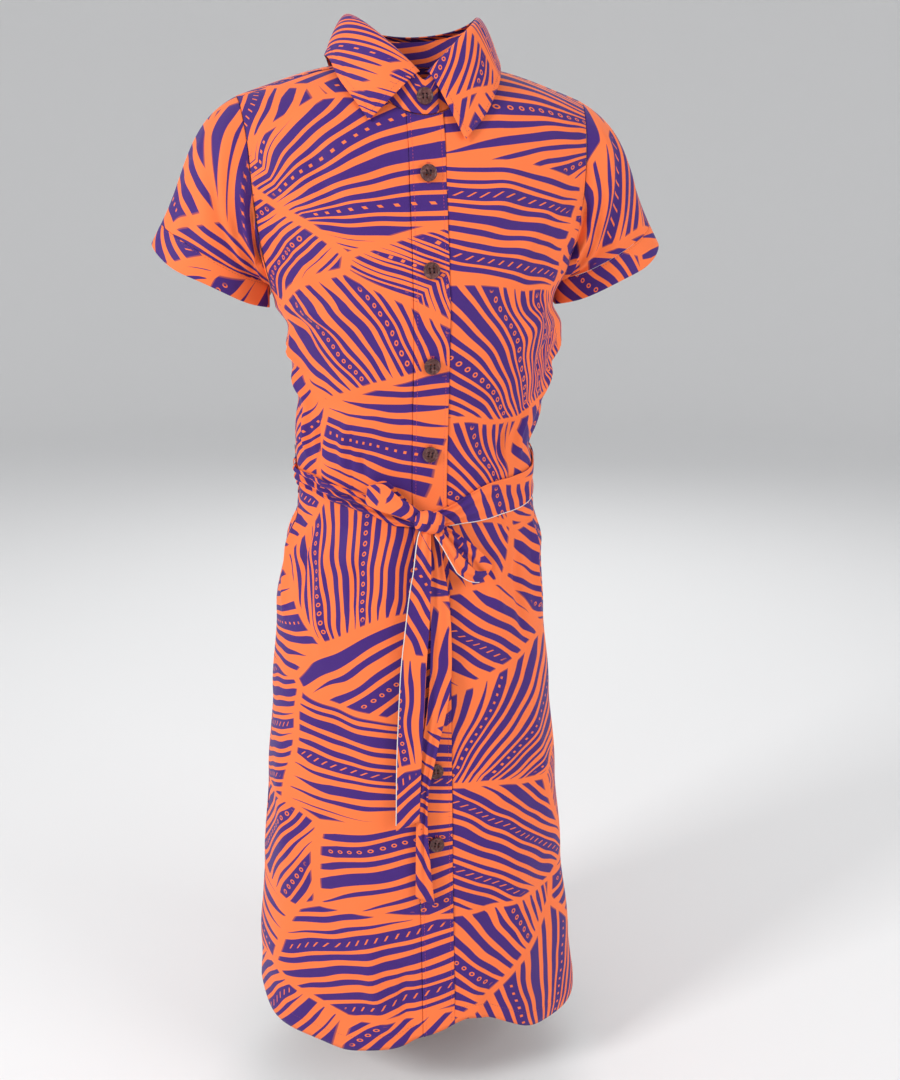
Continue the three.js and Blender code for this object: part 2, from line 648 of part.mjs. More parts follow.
// The bow's two loops leave the knot close to the dress and come back in front of themselves.
const BOW_RIGHT = [
  { x: -21, level: -440, lift: 10, half: 8 },
  { x: -34, level: -426, lift: 8.5, half: 13 },
  { x: -48, level: -411, lift: 8, half: 15 },
  { x: -56, level: -402, lift: 12, half: 14 },
  { x: -48, level: -411, lift: 17.5, half: 14 },
  { x: -34, level: -426, lift: 19, half: 12 },
  { x: -18.8, level: -441.4, lift: 17, half: 8 },
];
const BOW_LEFT = [
  { x: 15, level: -452, lift: 10.4, half: 7 },
  { x: 30, level: -472, lift: 8.4, half: 13 },
  { x: 50, level: -492, lift: 8, half: 15 },
  { x: 60, level: -502, lift: 14, half: 14 },
  { x: 50, level: -492, lift: 21, half: 14 },
  { x: 30, level: -472, lift: 22, half: 12 },
  { x: 8.4, level: -451, lift: 17.3, half: 7 },
];
const TAIL_RIGHT = [
  { x: -8, level: -460.6, lift: 17, half: 6 },
  { x: -16, level: -520, lift: 13, half: 13 },
  { x: -23, level: -600, lift: 12.5, half: 14 },
  { x: -28, level: -690, lift: 12, half: 13 },
  { x: -31, level: -767, lift: 12, half: 12 },
];
const TAIL_LEFT = [
  { x: -2, level: -458.5, lift: 11, half: 6 },
  { x: 7, level: -530, lift: 8.2, half: 12 },
  { x: 5, level: -610, lift: 8.2, half: 12 },
  { x: -6, level: -680, lift: 8.2, half: 9 },
  { x: -15, level: -735, lift: 8.2, half: 6 },
  { x: -16, level: -790, lift: 8.2, half: 6 },
  { x: -14, level: -856, lift: 8.2, half: 10 },
];

add('belt_waist', wall(beltRows(), BAND_CLOTH, true));

const knot = new THREE.SphereGeometry(1, 14, 8);
knot.scale(KNOT.width, KNOT.depth, KNOT.height);
add('belt_knot', knot).position.copy(overFront(KNOT.x, KNOT.level, KNOT.lift));

const ACROSS_BOW = vec(0.7, 0.71, 0);
add('belt_bow_right', wall(ribbonRows(BOW_RIGHT, ACROSS_BOW, 12), CLOTH));
add('belt_bow_left', wall(ribbonRows(BOW_LEFT, ACROSS_BOW.clone().negate(), 12), CLOTH));
add('belt_tail_right', wall(ribbonRows(TAIL_RIGHT, vec(1, 0, 0), 14), CLOTH));
add('belt_tail_left', wall(ribbonRows(TAIL_LEFT, vec(1, 0, 0), 18), CLOTH));

// A carrier stands over the belt at each side seam, its ends down on the cloth.
const CARRIER_HALF_TURN = 0.022;
const CARRIER = [
  { rise: 26, lift: 1.7 },
  { rise: 20.5, lift: 4.6 },
  { rise: 0, lift: 4.6 },
  { rise: -20.5, lift: 4.6 },
  { rise: -26, lift: 1.7 },
];

function carrierRows(side) {
  return CARRIER.map(({ rise, lift }) => [-1, 1].map((w) => (
    body(side * Math.PI / 2 + w * CARRIER_HALF_TURN, alongOf(BELT_SIDE_LEVEL + rise), lift))));
}

add('carrier_right', wall(carrierRows(-1), CLOTH));
add('carrier_left', wall(carrierRows(1), CLOTH));

// ---- Buttons -----------------------------------------------------------------------------

const BUTTON_PROFILE = [[0, 0], [0.94, 0], [1, 0.35], [1, 0.8], [0.84, 1], [0.7, 0.72], [0, 0.72]];

function addButton(name, place, lift) {
  const profile = BUTTON_PROFILE.map(([r, h]) => new THREE.Vector2(r * BUTTON_RADIUS, h * BUTTON_HEIGHT));
  const button = add(name, new THREE.LatheGeometry(profile, 12), SHELL_BROWN);
  button.position.copy(place.p).addScaledVector(place.n, lift);
  button.quaternion.setFromUnitVectors(vec(0, 1, 0), place.n);
}

const UPPER_BUTTONS = 4;
const LOWER_BUTTONS = 5;
const buttonLevels = [
  ...steps(UPPER_BUTTONS - 1).map((t) => lerp(FIRST_BUTTON_LEVEL, WAIST_BUTTON_LEVEL, t)),
  ...steps(LOWER_BUTTONS).slice(1).map((t) => lerp(WAIST_BUTTON_LEVEL, LAST_BUTTON_LEVEL, t)),
];
buttonLevels.forEach((level, i) => {
  const place = body(0, alongOf(level), BAND_LIFT);
  addButton(`button_${String(i + 2).padStart(2, '0')}`, place, SEAM + 0.1);
});

const standMiddle = foldLine(0).lerp(neckPoint(0), 0.5);
const standOut = vec(0, -1, 0.18).normalize();
addButton('button_01', { p: standMiddle, n: standOut }, STAND_SPREAD + 0.6);

export default group;
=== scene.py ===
"""Shirt dress with a tied belt, filled out as worn: the cloth, its print, buttons and stitching.

Sizes are in millimetres in the dress's own frame, as a pattern maker gives them, and become
metres when a mesh is made. The front faces -Y and the wearer's left is +X.
"""

import logging
import math
from dataclasses import dataclass, field
from enum import Enum

import bmesh
import bpy
import numpy as np
from mathutils import Matrix, Vector


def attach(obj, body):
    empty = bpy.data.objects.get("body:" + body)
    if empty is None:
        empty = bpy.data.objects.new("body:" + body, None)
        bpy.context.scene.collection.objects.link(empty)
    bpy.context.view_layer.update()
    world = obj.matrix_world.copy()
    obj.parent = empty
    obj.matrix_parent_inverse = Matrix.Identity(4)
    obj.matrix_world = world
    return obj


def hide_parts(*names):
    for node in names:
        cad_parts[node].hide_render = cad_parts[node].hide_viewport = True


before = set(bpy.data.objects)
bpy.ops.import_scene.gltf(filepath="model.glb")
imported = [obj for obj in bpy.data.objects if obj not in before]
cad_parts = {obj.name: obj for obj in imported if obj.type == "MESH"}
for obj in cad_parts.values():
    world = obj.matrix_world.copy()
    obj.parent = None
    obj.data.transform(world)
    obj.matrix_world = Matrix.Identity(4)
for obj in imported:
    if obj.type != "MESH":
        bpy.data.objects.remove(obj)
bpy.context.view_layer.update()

LOG = logging.getLogger("shirt_dress")
MM = 0.001
Array = np.ndarray
Material = bpy.types.Material
Triple = tuple[float, float, float]
Rows = tuple[tuple[float, ...], ...]
Grid = tuple[Array, tuple[Array, Array]]  # points, with their cut lengths across and down


# ---- Reading tables ----


@dataclass(frozen=True)
class Table:
    """Rows of named columns, sorted on a key, read with a smooth curve through them."""

    columns: tuple[str, ...]
    rows: Rows

    def at(self, key: Array | float, column: str) -> Array:
        """Value of a column where the first column has the key.

        Args:
            key: one or many values of the first column.
            column: name of the column that is read.

        Returns:
            The smooth value at each key, held at the table's ends.
        """
        grid = np.array(sorted(self.rows))
        keys, values = grid[:, 0], grid[:, self.columns.index(column)]
        key = np.clip(np.asarray(key, float), keys[0], keys[-1])
        i = np.clip(np.searchsorted(keys, key, side="right") - 1, 0, len(keys) - 2)
        slopes = np.empty_like(values)
        slopes[1:-1] = (values[2:] - values[:-2]) / (keys[2:] - keys[:-2])
        slopes[0] = (values[1] - values[0]) / (keys[1] - keys[0])
        slopes[-1] = (values[-1] - values[-2]) / (keys[-1] - keys[-2])
        span = keys[i + 1] - keys[i]
        t = (key - keys[i]) / span
        t2, t3 = t * t, t * t * t
        low = (2 * t3 - 3 * t2 + 1) * values[i] + (t3 - 2 * t2 + t) * span * slopes[i]
        return low + (3 * t2 - 2 * t3) * values[i + 1] + (t3 - t2) * span * slopes[i + 1]


def smooth(start: float, end: float, value: Array | float) -> Array:
    """Soft step from 0 at start to 1 at end."""
    t = np.clip((np.asarray(value, float) - start) / (end - start), 0, 1)
    return t * t * (3 - 2 * t)


def lerp(a: Array | float, b: Array | float, t: Array | float) -> Array | float:
    """Straight mix of a and b."""
    return a + (b - a) * t


def bell(value: Array | float, at: float, width: float) -> Array:
    """One where the value is at its place, falling off softly over a width."""
    return np.exp(-(((value - at) / width) ** 2))


def steps(points: Array, axis: int) -> Array:
    """Distances between neighbours along rows (1) or columns (0) of points."""
    return np.linalg.norm(np.diff(points, axis=axis), axis=-1)


@dataclass(frozen=True)
class Stretch:
    """A stretch that comes in softly from start to full and goes out from fade to gone."""

    start: float
    full: float
    fade: float
    gone: float

    def at(self, value: Array | float) -> Array:
        """One inside the stretch and zero outside it."""
        return smooth(self.start, self.full, value) * (1 - smooth(self.fade, self.gone, value))


def unit(v: Array) -> Array:
    """Vectors of length one."""
    return v / np.maximum(np.linalg.norm(v, axis=-1, keepdims=True), 1e-9)


def wander(a: Array, b: Array, seed: float) -> Array:
    """Slow, uneven wave between about -1 and 1 over two lengths in millimetres.

    Args:
        a, b: the two lengths.
        seed: number that sets one wave apart from another.

    Returns:
        The wave's value at each place.
    """
    return (
        np.sin(a / 37 + seed) * np.cos(b / 53 - 1.7 * seed)
        + 0.6 * np.sin(a / 19 - b / 31 + 2.3 * seed)
        + 0.4 * np.cos(a / 11 + b / 17 + 0.9 * seed)
    ) / 2


def shares(count: int, *edge_distances: float) -> Array:
    """Even shares from 0 to 1, with extra ones close to both ends for a turned edge."""
    extra = [s for d in edge_distances for s in (d, 1 - d)]
    return np.array(sorted({*np.linspace(0, 1, count + 1).round(6), *extra}))


def placed(name: str, data: bpy.types.ID) -> bpy.types.Object:
    """Adds an object that holds a mesh, a lamp or a camera to the scene.

    Args:
        name: the object's name.
        data: what the object holds.

    Returns:
        The new object.
    """
    made = bpy.data.objects.new(name, data)
    bpy.context.scene.collection.objects.link(made)
    return made


def face_outward(mesh: bpy.types.Mesh) -> None:
    """Turns the faces of a closed mesh outward.

    Args:
        mesh: the mesh that is changed.
    """
    shape = bmesh.new()
    shape.from_mesh(mesh)
    bmesh.ops.recalc_face_normals(shape, faces=shape.faces)
    shape.to_mesh(mesh)
    shape.free()


# ---- The dress's form ----

AROUND = 2.4  # millimetres round the body for each degree


@dataclass(frozen=True)
class Crease:
    """A soft trough or ridge between two places, each a turn in degrees and a level."""

    turn_a: float
    level_a: float
    turn_b: float
    level_b: float
    depth: float
    width: float
    ends: Stretch = Stretch(-0.12, 0.35, 0.6, 1.12)
    bend: float = 0.06

    def lift(self, turn: Array, level: Array) -> Array:
        """Height that the crease adds, fading out at both ends.

        Args:
            turn, level: places on the form, in degrees and millimetres.

        Returns:
            The height at each place.
        """
        gap = (turn - self.turn_a + 180) % 360 - 180
        x, y = gap * AROUND, level - self.level_a
        reach = (self.turn_b - self.turn_a + 180) % 360 - 180
        dx, dy = reach * AROUND, self.level_b - self.level_a
        length = math.hypot(dx, dy)
        t = (x * dx + y * dy) / length**2
        bow = self.bend * length * np.sin(np.clip(t, 0, 1) * math.pi)
        off = (x * dy - y * dx) / length - bow
        return self.depth * self.ends.at(t) * bell(off, 0, self.width)


SECTIONS = Table(
    ("level", "half", "front", "back"),
    (
        (30, 208, 74, 78),
        (0, 207, 80, 82),
        (-52, 206, 87, 90),
        (-106, 196, 98, 97),
        (-150, 180, 107, 100),
        (-190, 163, 115, 98),
        (-232, 146, 120, 94),
        (-270, 144, 119, 90),
        (-300, 141, 115, 86),
        (-337, 134, 108, 82),
        (-381, 129, 101, 78),
        (-420, 126, 98, 77),
        (-448, 129, 102, 82),
        (-494, 141, 113, 97),
        (-564, 149, 121, 110),
        (-660, 157, 127, 117),
        (-760, 165, 132, 123),
        (-864, 174, 138, 129),
        (-972, 184, 146, 137),
        (-1045, 189, 151, 142),
    ),
)

ARMHOLE = Table(
    ("along", "front", "back"),
    (
        (0, 177, 177),
        (60, 172, 174),
        (110, 168, 172),
        (170, 165, 169),
        (215, 160.5, 163),
        (248, 154, 156),
        (270, 148.5, 149.5),
        (280.5, 146, 146),
    ),
)

# Folds that hang: turn in degrees, level where each starts, level of full depth, depth, width.
FOLDS = (
    (-60, -470, -1040, 7, 13),
    (-24, -520, -1040, 5, 11),
    (30, -480, -1000, 6, 12),
    (66, -520, -1040, 6, 12),
    (118, -470, -1040, 7, 13),
    (152, -520, -1020, 6, 12),
    (205, -480, -1040, 7, 13),
    (240, -470, -1010, 6, 12),
    (-74, -300, -395, 5, 9),
    (-48, -320, -400, 3.5, 8),
    (58, -300, -395, 4, 9),
    (132, -300, -395, 5, 11),
    (180, -290, -395, 4, 11),
    (226, -300, -395, 5, 11),
)

# Small creases: turn and level of one end, turn and level of the other, depth and width.
CREASES = (
    # from the bust towards the armholes and shoulders
    (-58, -215, -30, -262, 2.2, 9),
    (-66, -236, -44, -300, -2.0, 8),
    (-50, -150, -38, -215, 1.6, 10),
    (60, -222, 34, -270, 2.0, 9),
    (67, -246, 48, -310, -1.8, 8),
    (44, -120, 30, -205, 1.5, 11),
    (-30, -70, -22, -150, -1.3, 10),
    (24, -84, 20, -160, 1.2, 11),
    (-78, -250, -62, -345, 2.4, 8),
    (76, -260, 64, -340, 2.2, 8),
    # bunched below the underarms
    (-97, -266, -66, -280, 1.5, 6),
    (-84, -278, -58, -304, -1.4, 5),
    (-80, -290, -60, -328, 1.6, 6),
    (97, -266, 68, -282, 1.5, 6),
    (86, -280, 60, -308, -1.4, 5),
    (106, -268, 122, -298, 1.3, 7),
    (-106, -268, -124, -300, 1.3, 7),
    # blousing over the belt
    (-84, -330, -80, -398, -2.6, 6),
    (-66, -318, -62, -400, 2.8, 6),
    (-57, -340, -52, -404, -2.4, 5),
    (-38, -345, -36, -412, 2.2, 6),
    (-29, -372, -25, -414, -1.8, 5),
    (18, -380, 22, -420, 1.8, 6),
    (36, -345, 40, -412, -2.2, 6),
    (49, -330, 52, -405, 2.4, 6),
    (68, -325, 70, -400, -2.6, 6),
    (84, -335, 80, -398, 2.2, 6),
    (-75, -375, -45, -402, 1.6, 6),
    (45, -372, 78, -396, 1.4, 6),
    (104, -320, 108, -395, 2.6, 7),
    (120, -335, 122, -398, -2.4, 6),
    (143, -325, 141, -396, 2.2, 7),
    (163, -330, 166, -398, -2.4, 7),
    (192, -335, 190, -396, 2.2, 6),
    (214, -325, 212, -398, -2.6, 7),
    (239, -330, 243, -396, 2.6, 6),
    (255, -325, 252, -398, -2.2, 6),
    (140, -130, 152, -250, 1.6, 12),
    (222, -130, 208, -255, 1.6, 12),
    (168, -150, 176, -290, -1.4, 14),
    # fan below the belt
    (-80, -440, -72, -560, 2.4, 7),
    (-62, -455, -58, -530, -2.0, 6),
    (-44, -455, -42, -600, 2.0, 8),
    (-26, -470, -28, -545, -1.6, 6),
    (26, -475, 30, -560, 2.0, 7),
    (42, -460, 46, -600, -1.8, 7),
    (60, -450, 62, -570, 2.2, 7),
    (80, -440, 74, -540, -2.0, 6),
    (102, -435, 106, -560, 2.4, 7),
    (126, -435, 130, -530, -2.0, 7),
    (150, -435, 152, -580, 2.2, 8),
    (176, -435, 178, -540, -2.0, 7),
    (200, -435, 198, -590, 2.2, 8),
    (228, -435, 226, -545, -2.2, 7),
    (254, -435, 250, -570, 2.4, 7),
    # the skirt's slow bends and the front edges near the hem
    (-70, -700, -50, -860, 1.8, 18),
    (-36, -620, -20, -760, -1.4, 16),
    (48, -640, 62, -820, 1.8, 18),
    (20, -840, 34, -990, -1.6, 14),
    (-22, -900, -14, -1030, 2.2, 8),
    (-10, -930, -7, -1035, -1.6, 5),
    (14, -940, 17, -1035, 1.8, 7),
    (110, -680, 126, -860, 1.8, 18),
    (170, -640, 160, -820, -1.6, 18),
    (232, -700, 214, -880, 1.8, 18),
)


@dataclass(frozen=True)
class Form:
    """The hollow form that the cloth lies on, with the sizes that the pieces share."""

    bodice_power: float = 2.3
    hem_power: float = 2.0
    neck_half: float = 72
    shoulder_half: float = 177
    shoulder_fall: float = 31
    shoulder_y: float = 6
    shoulder_roll: float = 85
    shoulder_curve: float = 1.35
    shoulder_fade: tuple[float, float] = (20, 240)
    neck_drop_front: float = 100
    neck_drop_back: float = 58
    neck_curve: float = 1.15
    neck_crown: float = 24
    neck_crown_fade: tuple[float, float] = (60, 260)
    yoke_front: float = 26
    yoke_back_arm: float = 125
    yoke_back_centre: float = 150
    underarm_level: float = -232
    hem_level: float = -1040
    hem_lift: float = 21
    hem_lift_span: tuple[float, float] = (4, 24)
    # rise, turn from the centre front in degrees, and span in degrees
    hem_rises_right: tuple[Triple, ...] = ((19, 88, 34), (-8, 20, 15), (11, 22, 8))
    hem_rises_left: tuple[Triple, ...] = ((4, 90, 24), (26, 18, 12.5), (-12, 58, 20))
    # how far the dress leans to the wearer's left at the bust, and back again below the waist
    lean_out: float = 11
    lean_out_at: Stretch = Stretch(-233, -255, -320, -380)
    lean_back: float = 7
    lean_back_from: tuple[float, float] = (-450, -560)
    lean_eased: float = 0.6
    lean_eased_from: float = -860
    # how far the wearer's left is drawn in above the belt
    drawn_in: float = 7
    drawn_in_at: Stretch = Stretch(-258, -286, -382, -404)
    rounding: tuple[float, float] = (-600, -1000)
    band_half: float = 17.5
    belt_side: float = -408
    belt_front: float = -446
    belt_back_rise: float = 3
    crease_gain: float = 2.5
    flat_at_belt: tuple[float, float] = (14, 44)

    def level_of(self, along: Array | float) -> Array:
        """Level on the centre line, from the length of cloth below the shoulder ridge."""
        along = np.asarray(along, float)
        quarter = self.shoulder_roll * math.pi / 2
        rolled = -self.shoulder_roll * (1 - np.cos(np.minimum(along, quarter) / self.shoulder_roll))
        return np.where(along < quarter, rolled, -(along - quarter + self.shoulder_roll))

    def along_of(self, level: Array | float) -> Array:
        """Length of cloth below the shoulder ridge, from the level on the centre line.

        Args:
            level: level, zero on the ridge.

        Returns:
            The length of cloth.
        """
        level = np.asarray(level, float)
        near = np.clip(1 + level / self.shoulder_roll, -1, 1)
        rolled = self.shoulder_roll * np.arccos(near)
        straight = self.shoulder_roll * (math.pi / 2 - 1) - level
        return np.where(level > -self.shoulder_roll, rolled, straight)

    @property
    def underarm(self) -> float:
        """Length of cloth from the ridge down to the underarm."""
        return float(self.along_of(self.underarm_level))

    @property
    def hem(self) -> float:
        """Length of cloth from the ridge down to the hem at the sides."""
        return float(self.along_of(self.hem_level))

    def lean_at(self, level: Array | float) -> Array:
        """How far the dress stands over to the wearer's left: out at the bust, back below."""
        eased = 1 - self.lean_eased * smooth(self.lean_eased_from, self.hem_level, level)
        back = self.lean_back * smooth(*self.lean_back_from, level) * eased
        return self.lean_out * self.lean_out_at.at(level) - back

    def half_at(self, level: Array | float, side: Array | float) -> Array:
        """Half width of the dress on the wearer's left (1) or right (-1)."""
        drawn_in = self.drawn_in * self.drawn_in_at.at(level)
        return SECTIONS.at(level, "half") + side * self.lean_at(level) - drawn_in * (np.asarray(side) > 0)

    def power_at(self, level: Array | float) -> Array:
        """Squareness of the level section, which rounds off towards the hem."""
        return lerp(self.bodice_power, self.hem_power, smooth(*self.rounding, level))

    def turn_of(self, x: Array | float, along: Array | float) -> Array:
        """Turn from the centre line, in radians, where the form reaches x."""
        level = self.level_of(along)
        share = np.minimum(np.abs(x) / self.half_at(level, np.sign(x)), 1)
        return np.sign(x) * np.arcsin(share ** (self.power_at(level) / 2))

    def armhole_turn(self, along: Array | float, side: str) -> Array:
        """Turn of the armhole seam, from the centre line of its side."""
        return self.turn_of(ARMHOLE.at(along, side), along)

    def belt_level(self, turn: Array | float) -> Array:
        """Level of the belt's middle line round the waist."""
        side = np.abs(np.sin(turn))
        front = lerp(self.belt_front, self.belt_side, side)
        return np.where(np.cos(turn) > 0, front, self.belt_side + self.belt_back_rise * (1 - side))

    def hem_at(self, turn: Array) -> Array:
        """Length down to the hem, which rises at the front edges, at the sides and on the left.

        Args:
            turn: radians from the centre front.

        Returns:
            The length of cloth from the ridge to the hem.
        """
        degrees = (np.degrees(turn) + 180) % 360 - 180
        edges = self.hem_lift * (1 - smooth(*self.hem_lift_span, np.abs(degrees)))
        right = sum(rise * bell(degrees, -at, span) for rise, at, span in self.hem_rises_right)
        left = sum(rise * bell(degrees, at, span) for rise, at, span in self.hem_rises_left)
        return self.hem - edges - right - left

    def skin(self, turn: Array, along: Array) -> Array:
        """Bare outer face of the dress, with the folds that hang.

        Args:
            turn: radians from the centre front towards the wearer's left.
            along: length of cloth down from the shoulder ridge.

        Returns:
            Positions, one for each place.
        """
        turn, along = np.broadcast_arrays(np.asarray(turn, float), np.asarray(along, float))
        level = self.level_of(along)
        half = self.half_at(level, np.sign(np.sin(turn)))
        power = 2 / self.power_at(level)
        is_front = np.cos(turn) > 0
        depth = np.where(is_front, SECTIONS.at(level, "front"), SECTIONS.at(level, "back"))
        sine, cosine = np.sin(turn), np.cos(turn)
        x = half * np.sign(sine) * np.abs(sine) ** power
        bare = -depth * np.sign(cosine) * np.abs(cosine) ** power
        roll = np.where(level < -self.shoulder_roll, 1, np.sin(along / self.shoulder_roll))
        y = self.shoulder_y * (1 - roll) + bare * roll
        outward = np.maximum(np.abs(x) - self.neck_half, 0)
        crown = np.where(is_front, 0, self.neck_crown * np.maximum(1 - (x / self.neck_half) ** 2, 0))
        nape = crown * Stretch(0, self.neck_drop_back, *self.neck_crown_fade).at(along)
        fade = 1 - smooth(*self.shoulder_fade, along)
        slope = (outward / (self.shoulder_half - self.neck_half)) ** self.shoulder_curve
        fall = self.shoulder_fall * slope
        z = level - fall * fade + nape
        away = unit(np.stack([x / half**2, y / depth**2, np.zeros_like(x)], -1))
        push = self.hanging(np.degrees(turn), level)
        return np.stack([x, y, z], -1) + away * push[..., None]

    def hanging(self, turn: Array, level: Array) -> Array:
        """Depth of the hanging folds at a turn in degrees and a level.

        Args:
            turn: degrees from the centre front.
            level: level on the centre line.

        Returns:
            The depth at each place.
        """
        depth = np.zeros_like(level)
        for at, start, full, deep, width in FOLDS:
            away = (turn - at + 540) % 360 - 180
            grown = smooth(start, full, level)
            if full > self.belt_front:  # a fold of the bodice ends over the belt
                grown = grown * smooth(full - 75, full - 20, level)
            depth = depth + deep * grown * bell(away, 0, width)
        return depth

    def wrinkles(self, turn: Array, level: Array) -> Array:
        """Height of the smaller creases, which the belt holds flat at the waist.

        Args:
            turn: radians from the centre front.
            level: level on the centre line.

        Returns:
            The height at each place.
        """
        degrees = np.degrees(turn)
        height = np.zeros_like(level)
        for row in CREASES:
            height = height + Crease(*row).lift(degrees, level)
        height = self.crease_gain * height + wander(degrees * AROUND, level, 0.4)
        from_belt = np.abs(level - self.belt_level(turn))
        return height * smooth(*self.flat_at_belt, from_belt)

    def place(self, turn: Array, along: Array, lift: Array | float = 0, creased: bool = True) -> Array:
        """Point over the dress, raised along the cloth's normal.

        Args:
            turn: radians from the centre front towards the wearer's left.
            along: length of cloth down from the ridge.
            lift: height above the cloth's outer face.
            creased: whether the small creases are followed.

        Returns:
            Positions, one for each place.
        """
        turn, along = np.broadcast_arrays(np.asarray(turn, float), np.asarray(along, float))
        step = 0.01
        across = self.skin(turn + step, along) - self.skin(turn - step, along)
        down = self.skin(turn, along + 1) - self.skin(turn, np.maximum(along - 1, 0))
        normal = unit(np.cross(down, across))
        height = np.asarray(lift, float) + (self.wrinkles(turn, self.level_of(along)) if creased else 0)
        height = np.broadcast_to(height, turn.shape)
        return self.skin(turn, along) + normal * height[..., None]

    def over_shoulder(
        self, turn: Array, along: Array, lift: Array | float = 0, creased: bool = True
    ) -> Array:
        """Point whose length is below zero in front of the ridge and above it behind."""
        turn, along = np.broadcast_arrays(np.asarray(turn, float), np.asarray(along, float))
        return self.place(np.where(along > 0, math.pi - turn, turn), np.abs(along), lift, creased)

    def over_front(self, x: Array, level: Array | float, lift: Array | float) -> Array:
        """Point over the uncreased front by distance from the centre and level."""
        along = self.along_of(level)
        return self.place(self.turn_of(x, along), along, lift, creased=False)

    def neck_seam(self, turn: Array | float) -> tuple[Array, Array]:
        """Distance from the centre and signed length of the neck seam.

        Args:
            turn: 0 at the centre front, half of pi at the shoulder, pi at the nape.

        Returns:
            The distance and the length, below zero in front.
        """
        cosine = np.cos(turn)
        drop = np.where(cosine > 0, -self.neck_drop_front, self.neck_drop_back)
        return self.neck_half * np.sin(turn), drop * np.abs(cosine) ** self.neck_curve

    @property
    def neck_turn_yoke(self) -> float:
        """Turn where the neck seam meets the yoke's front seam."""
        return math.acos((self.yoke_front / self.neck_drop_front) ** (1 / self.neck_curve))

    @property
    def neck_turn_band(self) -> float:
        """Turn where the neck seam meets a front band."""
        return math.asin(self.band_half / self.neck_half)

    @property
    def cut_half(self) -> float:
        """Half width under the bust, which gives the cut pieces their breadth."""
        return float(SECTIONS.at(-300, "half"))


# ---- Shader nodes ----


class Value:
    """A shader socket that takes part in Python expressions, each of which adds Math nodes."""

    def __init__(self, shader: "Shader", socket: bpy.types.NodeSocket | float) -> None:
        """Wraps a socket or a number for one shader."""
        self.shader, self.socket = shader, socket

    def math(self, operation: str, *others: "Value | float") -> "Value":
        """A Math node of this value and others."""
        values = [self, *others]
        return self.shader.node("ShaderNodeMath", {"operation": operation}, dict(enumerate(values)))[0]

    def __add__(self, other: "Value | float") -> "Value":
        """Sum."""
        return self.math("ADD", other)

    __radd__ = __add__

    def __sub__(self, other: "Value | float") -> "Value":
        """Difference."""
        return self.math("SUBTRACT", other)

    def __rsub__(self, other: float) -> "Value":
        """Difference from a number."""
        return Value(self.shader, other).math("SUBTRACT", self)

    def __mul__(self, other: "Value | float") -> "Value":
        """Product."""
        return self.math("MULTIPLY", other)

    __rmul__ = __mul__

    def __truediv__(self, other: "Value | float") -> "Value":
        """Quotient."""
        return self.math("DIVIDE", other)

    def below(self, limit: "Value | float", edge: float) -> "Value":
        """Soft mask of one where this value is below a limit."""
        return ((limit - self) / edge + 0.5).math("MINIMUM", 1.0).math("MAXIMUM", 0.0)

    def between(self, low: float, high: float, edge: float) -> "Value":
        """Soft mask of one where this value lies between two numbers."""
        return self.below(high, edge) * (1.0 - self.below(low, edge))


class Shader:
    """One node material, with a single method that adds any node."""

    def __init__(self, name: str) -> None:
        """Starts an empty material of a name."""
        self.material = bpy.data.materials.new(name)
        self.material.use_nodes = True
        self.tree = self.material.node_tree
        self.tree.nodes.clear()

    def node(self, kind: str, settings: dict | None = None, inputs: dict | None = None) -> list[Value]:
        """Adds a node.

        Args:
            kind: the node's type.
            settings: properties that are set first, such as an operation.
            inputs: socket names or numbers, with values, Values or colours.

        Returns:
            The node's outputs.
        """
        made = self.tree.nodes.new(kind)
        for key, setting in (settings or {}).items():
            if key == "stops":
                ramp = made.color_ramp
                while len(ramp.elements) < len(setting):
                    ramp.elements.new(0.5)
                for element, (position, color) in zip(ramp.elements, setting):
                    element.position, element.color = position, color
            else:
                setattr(made, key, setting)
        for key, given in (inputs or {}).items():
            target = made.inputs[key]
            if isinstance(given, Value) and not isinstance(given.socket, (int, float)):
                self.tree.links.new(given.socket, target)
            else:
                target.default_value = given.socket if isinstance(given, Value) else given
        return [Value(self, out) for out in made.outputs]

    def mix(self, mask: Value | float, first: Value | tuple, second: Value | tuple) -> Value:
        """Colour that goes from the first to the second as the mask rises."""
        inputs = {0: mask, 6: first, 7: second}
        return self.node("ShaderNodeMix", {"data_type": "RGBA"}, inputs)[2]

    def noise(
        self, vector: Value, scale: float, detail: float, is_flat: bool, bent: float = 0.0
    ) -> list[Value]:
        """Adds a noise texture.

        Args:
            vector: where it is read.
            scale: waves in each unit.
            detail: how many finer waves are added.
            is_flat: whether it is read over two coordinates and not over three.
            bent: how far it is distorted.

        Returns:
            Its strength and its colour.
        """
        settings = {"noise_dimensions": "2D" if is_flat else "3D"}
        inputs = {"Vector": vector, "Scale": scale, "Detail": detail, "Distortion": bent}
        return self.node("ShaderNodeTexNoise", settings, inputs)

    def vector(self, operation: str, *vectors: Value | tuple) -> list[Value]:
        """Outputs of a Vector Math node."""
        return self.node("ShaderNodeVectorMath", {"operation": operation}, dict(enumerate(vectors)))

    def split(self, vector: Value) -> list[Value]:
        """The three numbers of a vector or colour."""
        return self.node("ShaderNodeSeparateXYZ", None, {0: vector})

    def combine(self, x: Value, y: Value) -> Value:
        """A flat vector of two numbers."""
        return self.node("ShaderNodeCombineXYZ", None, {0: x, 1: y})[0]

    def surface(self, constants: dict, links: dict) -> Material:
        """Ends the material with a Principled surface of fixed and varying inputs."""
        out = self.node("ShaderNodeBsdfPrincipled", None, {**constants, **links})[0]
        self.node("ShaderNodeOutputMaterial", None, {0: out})
        return self.material


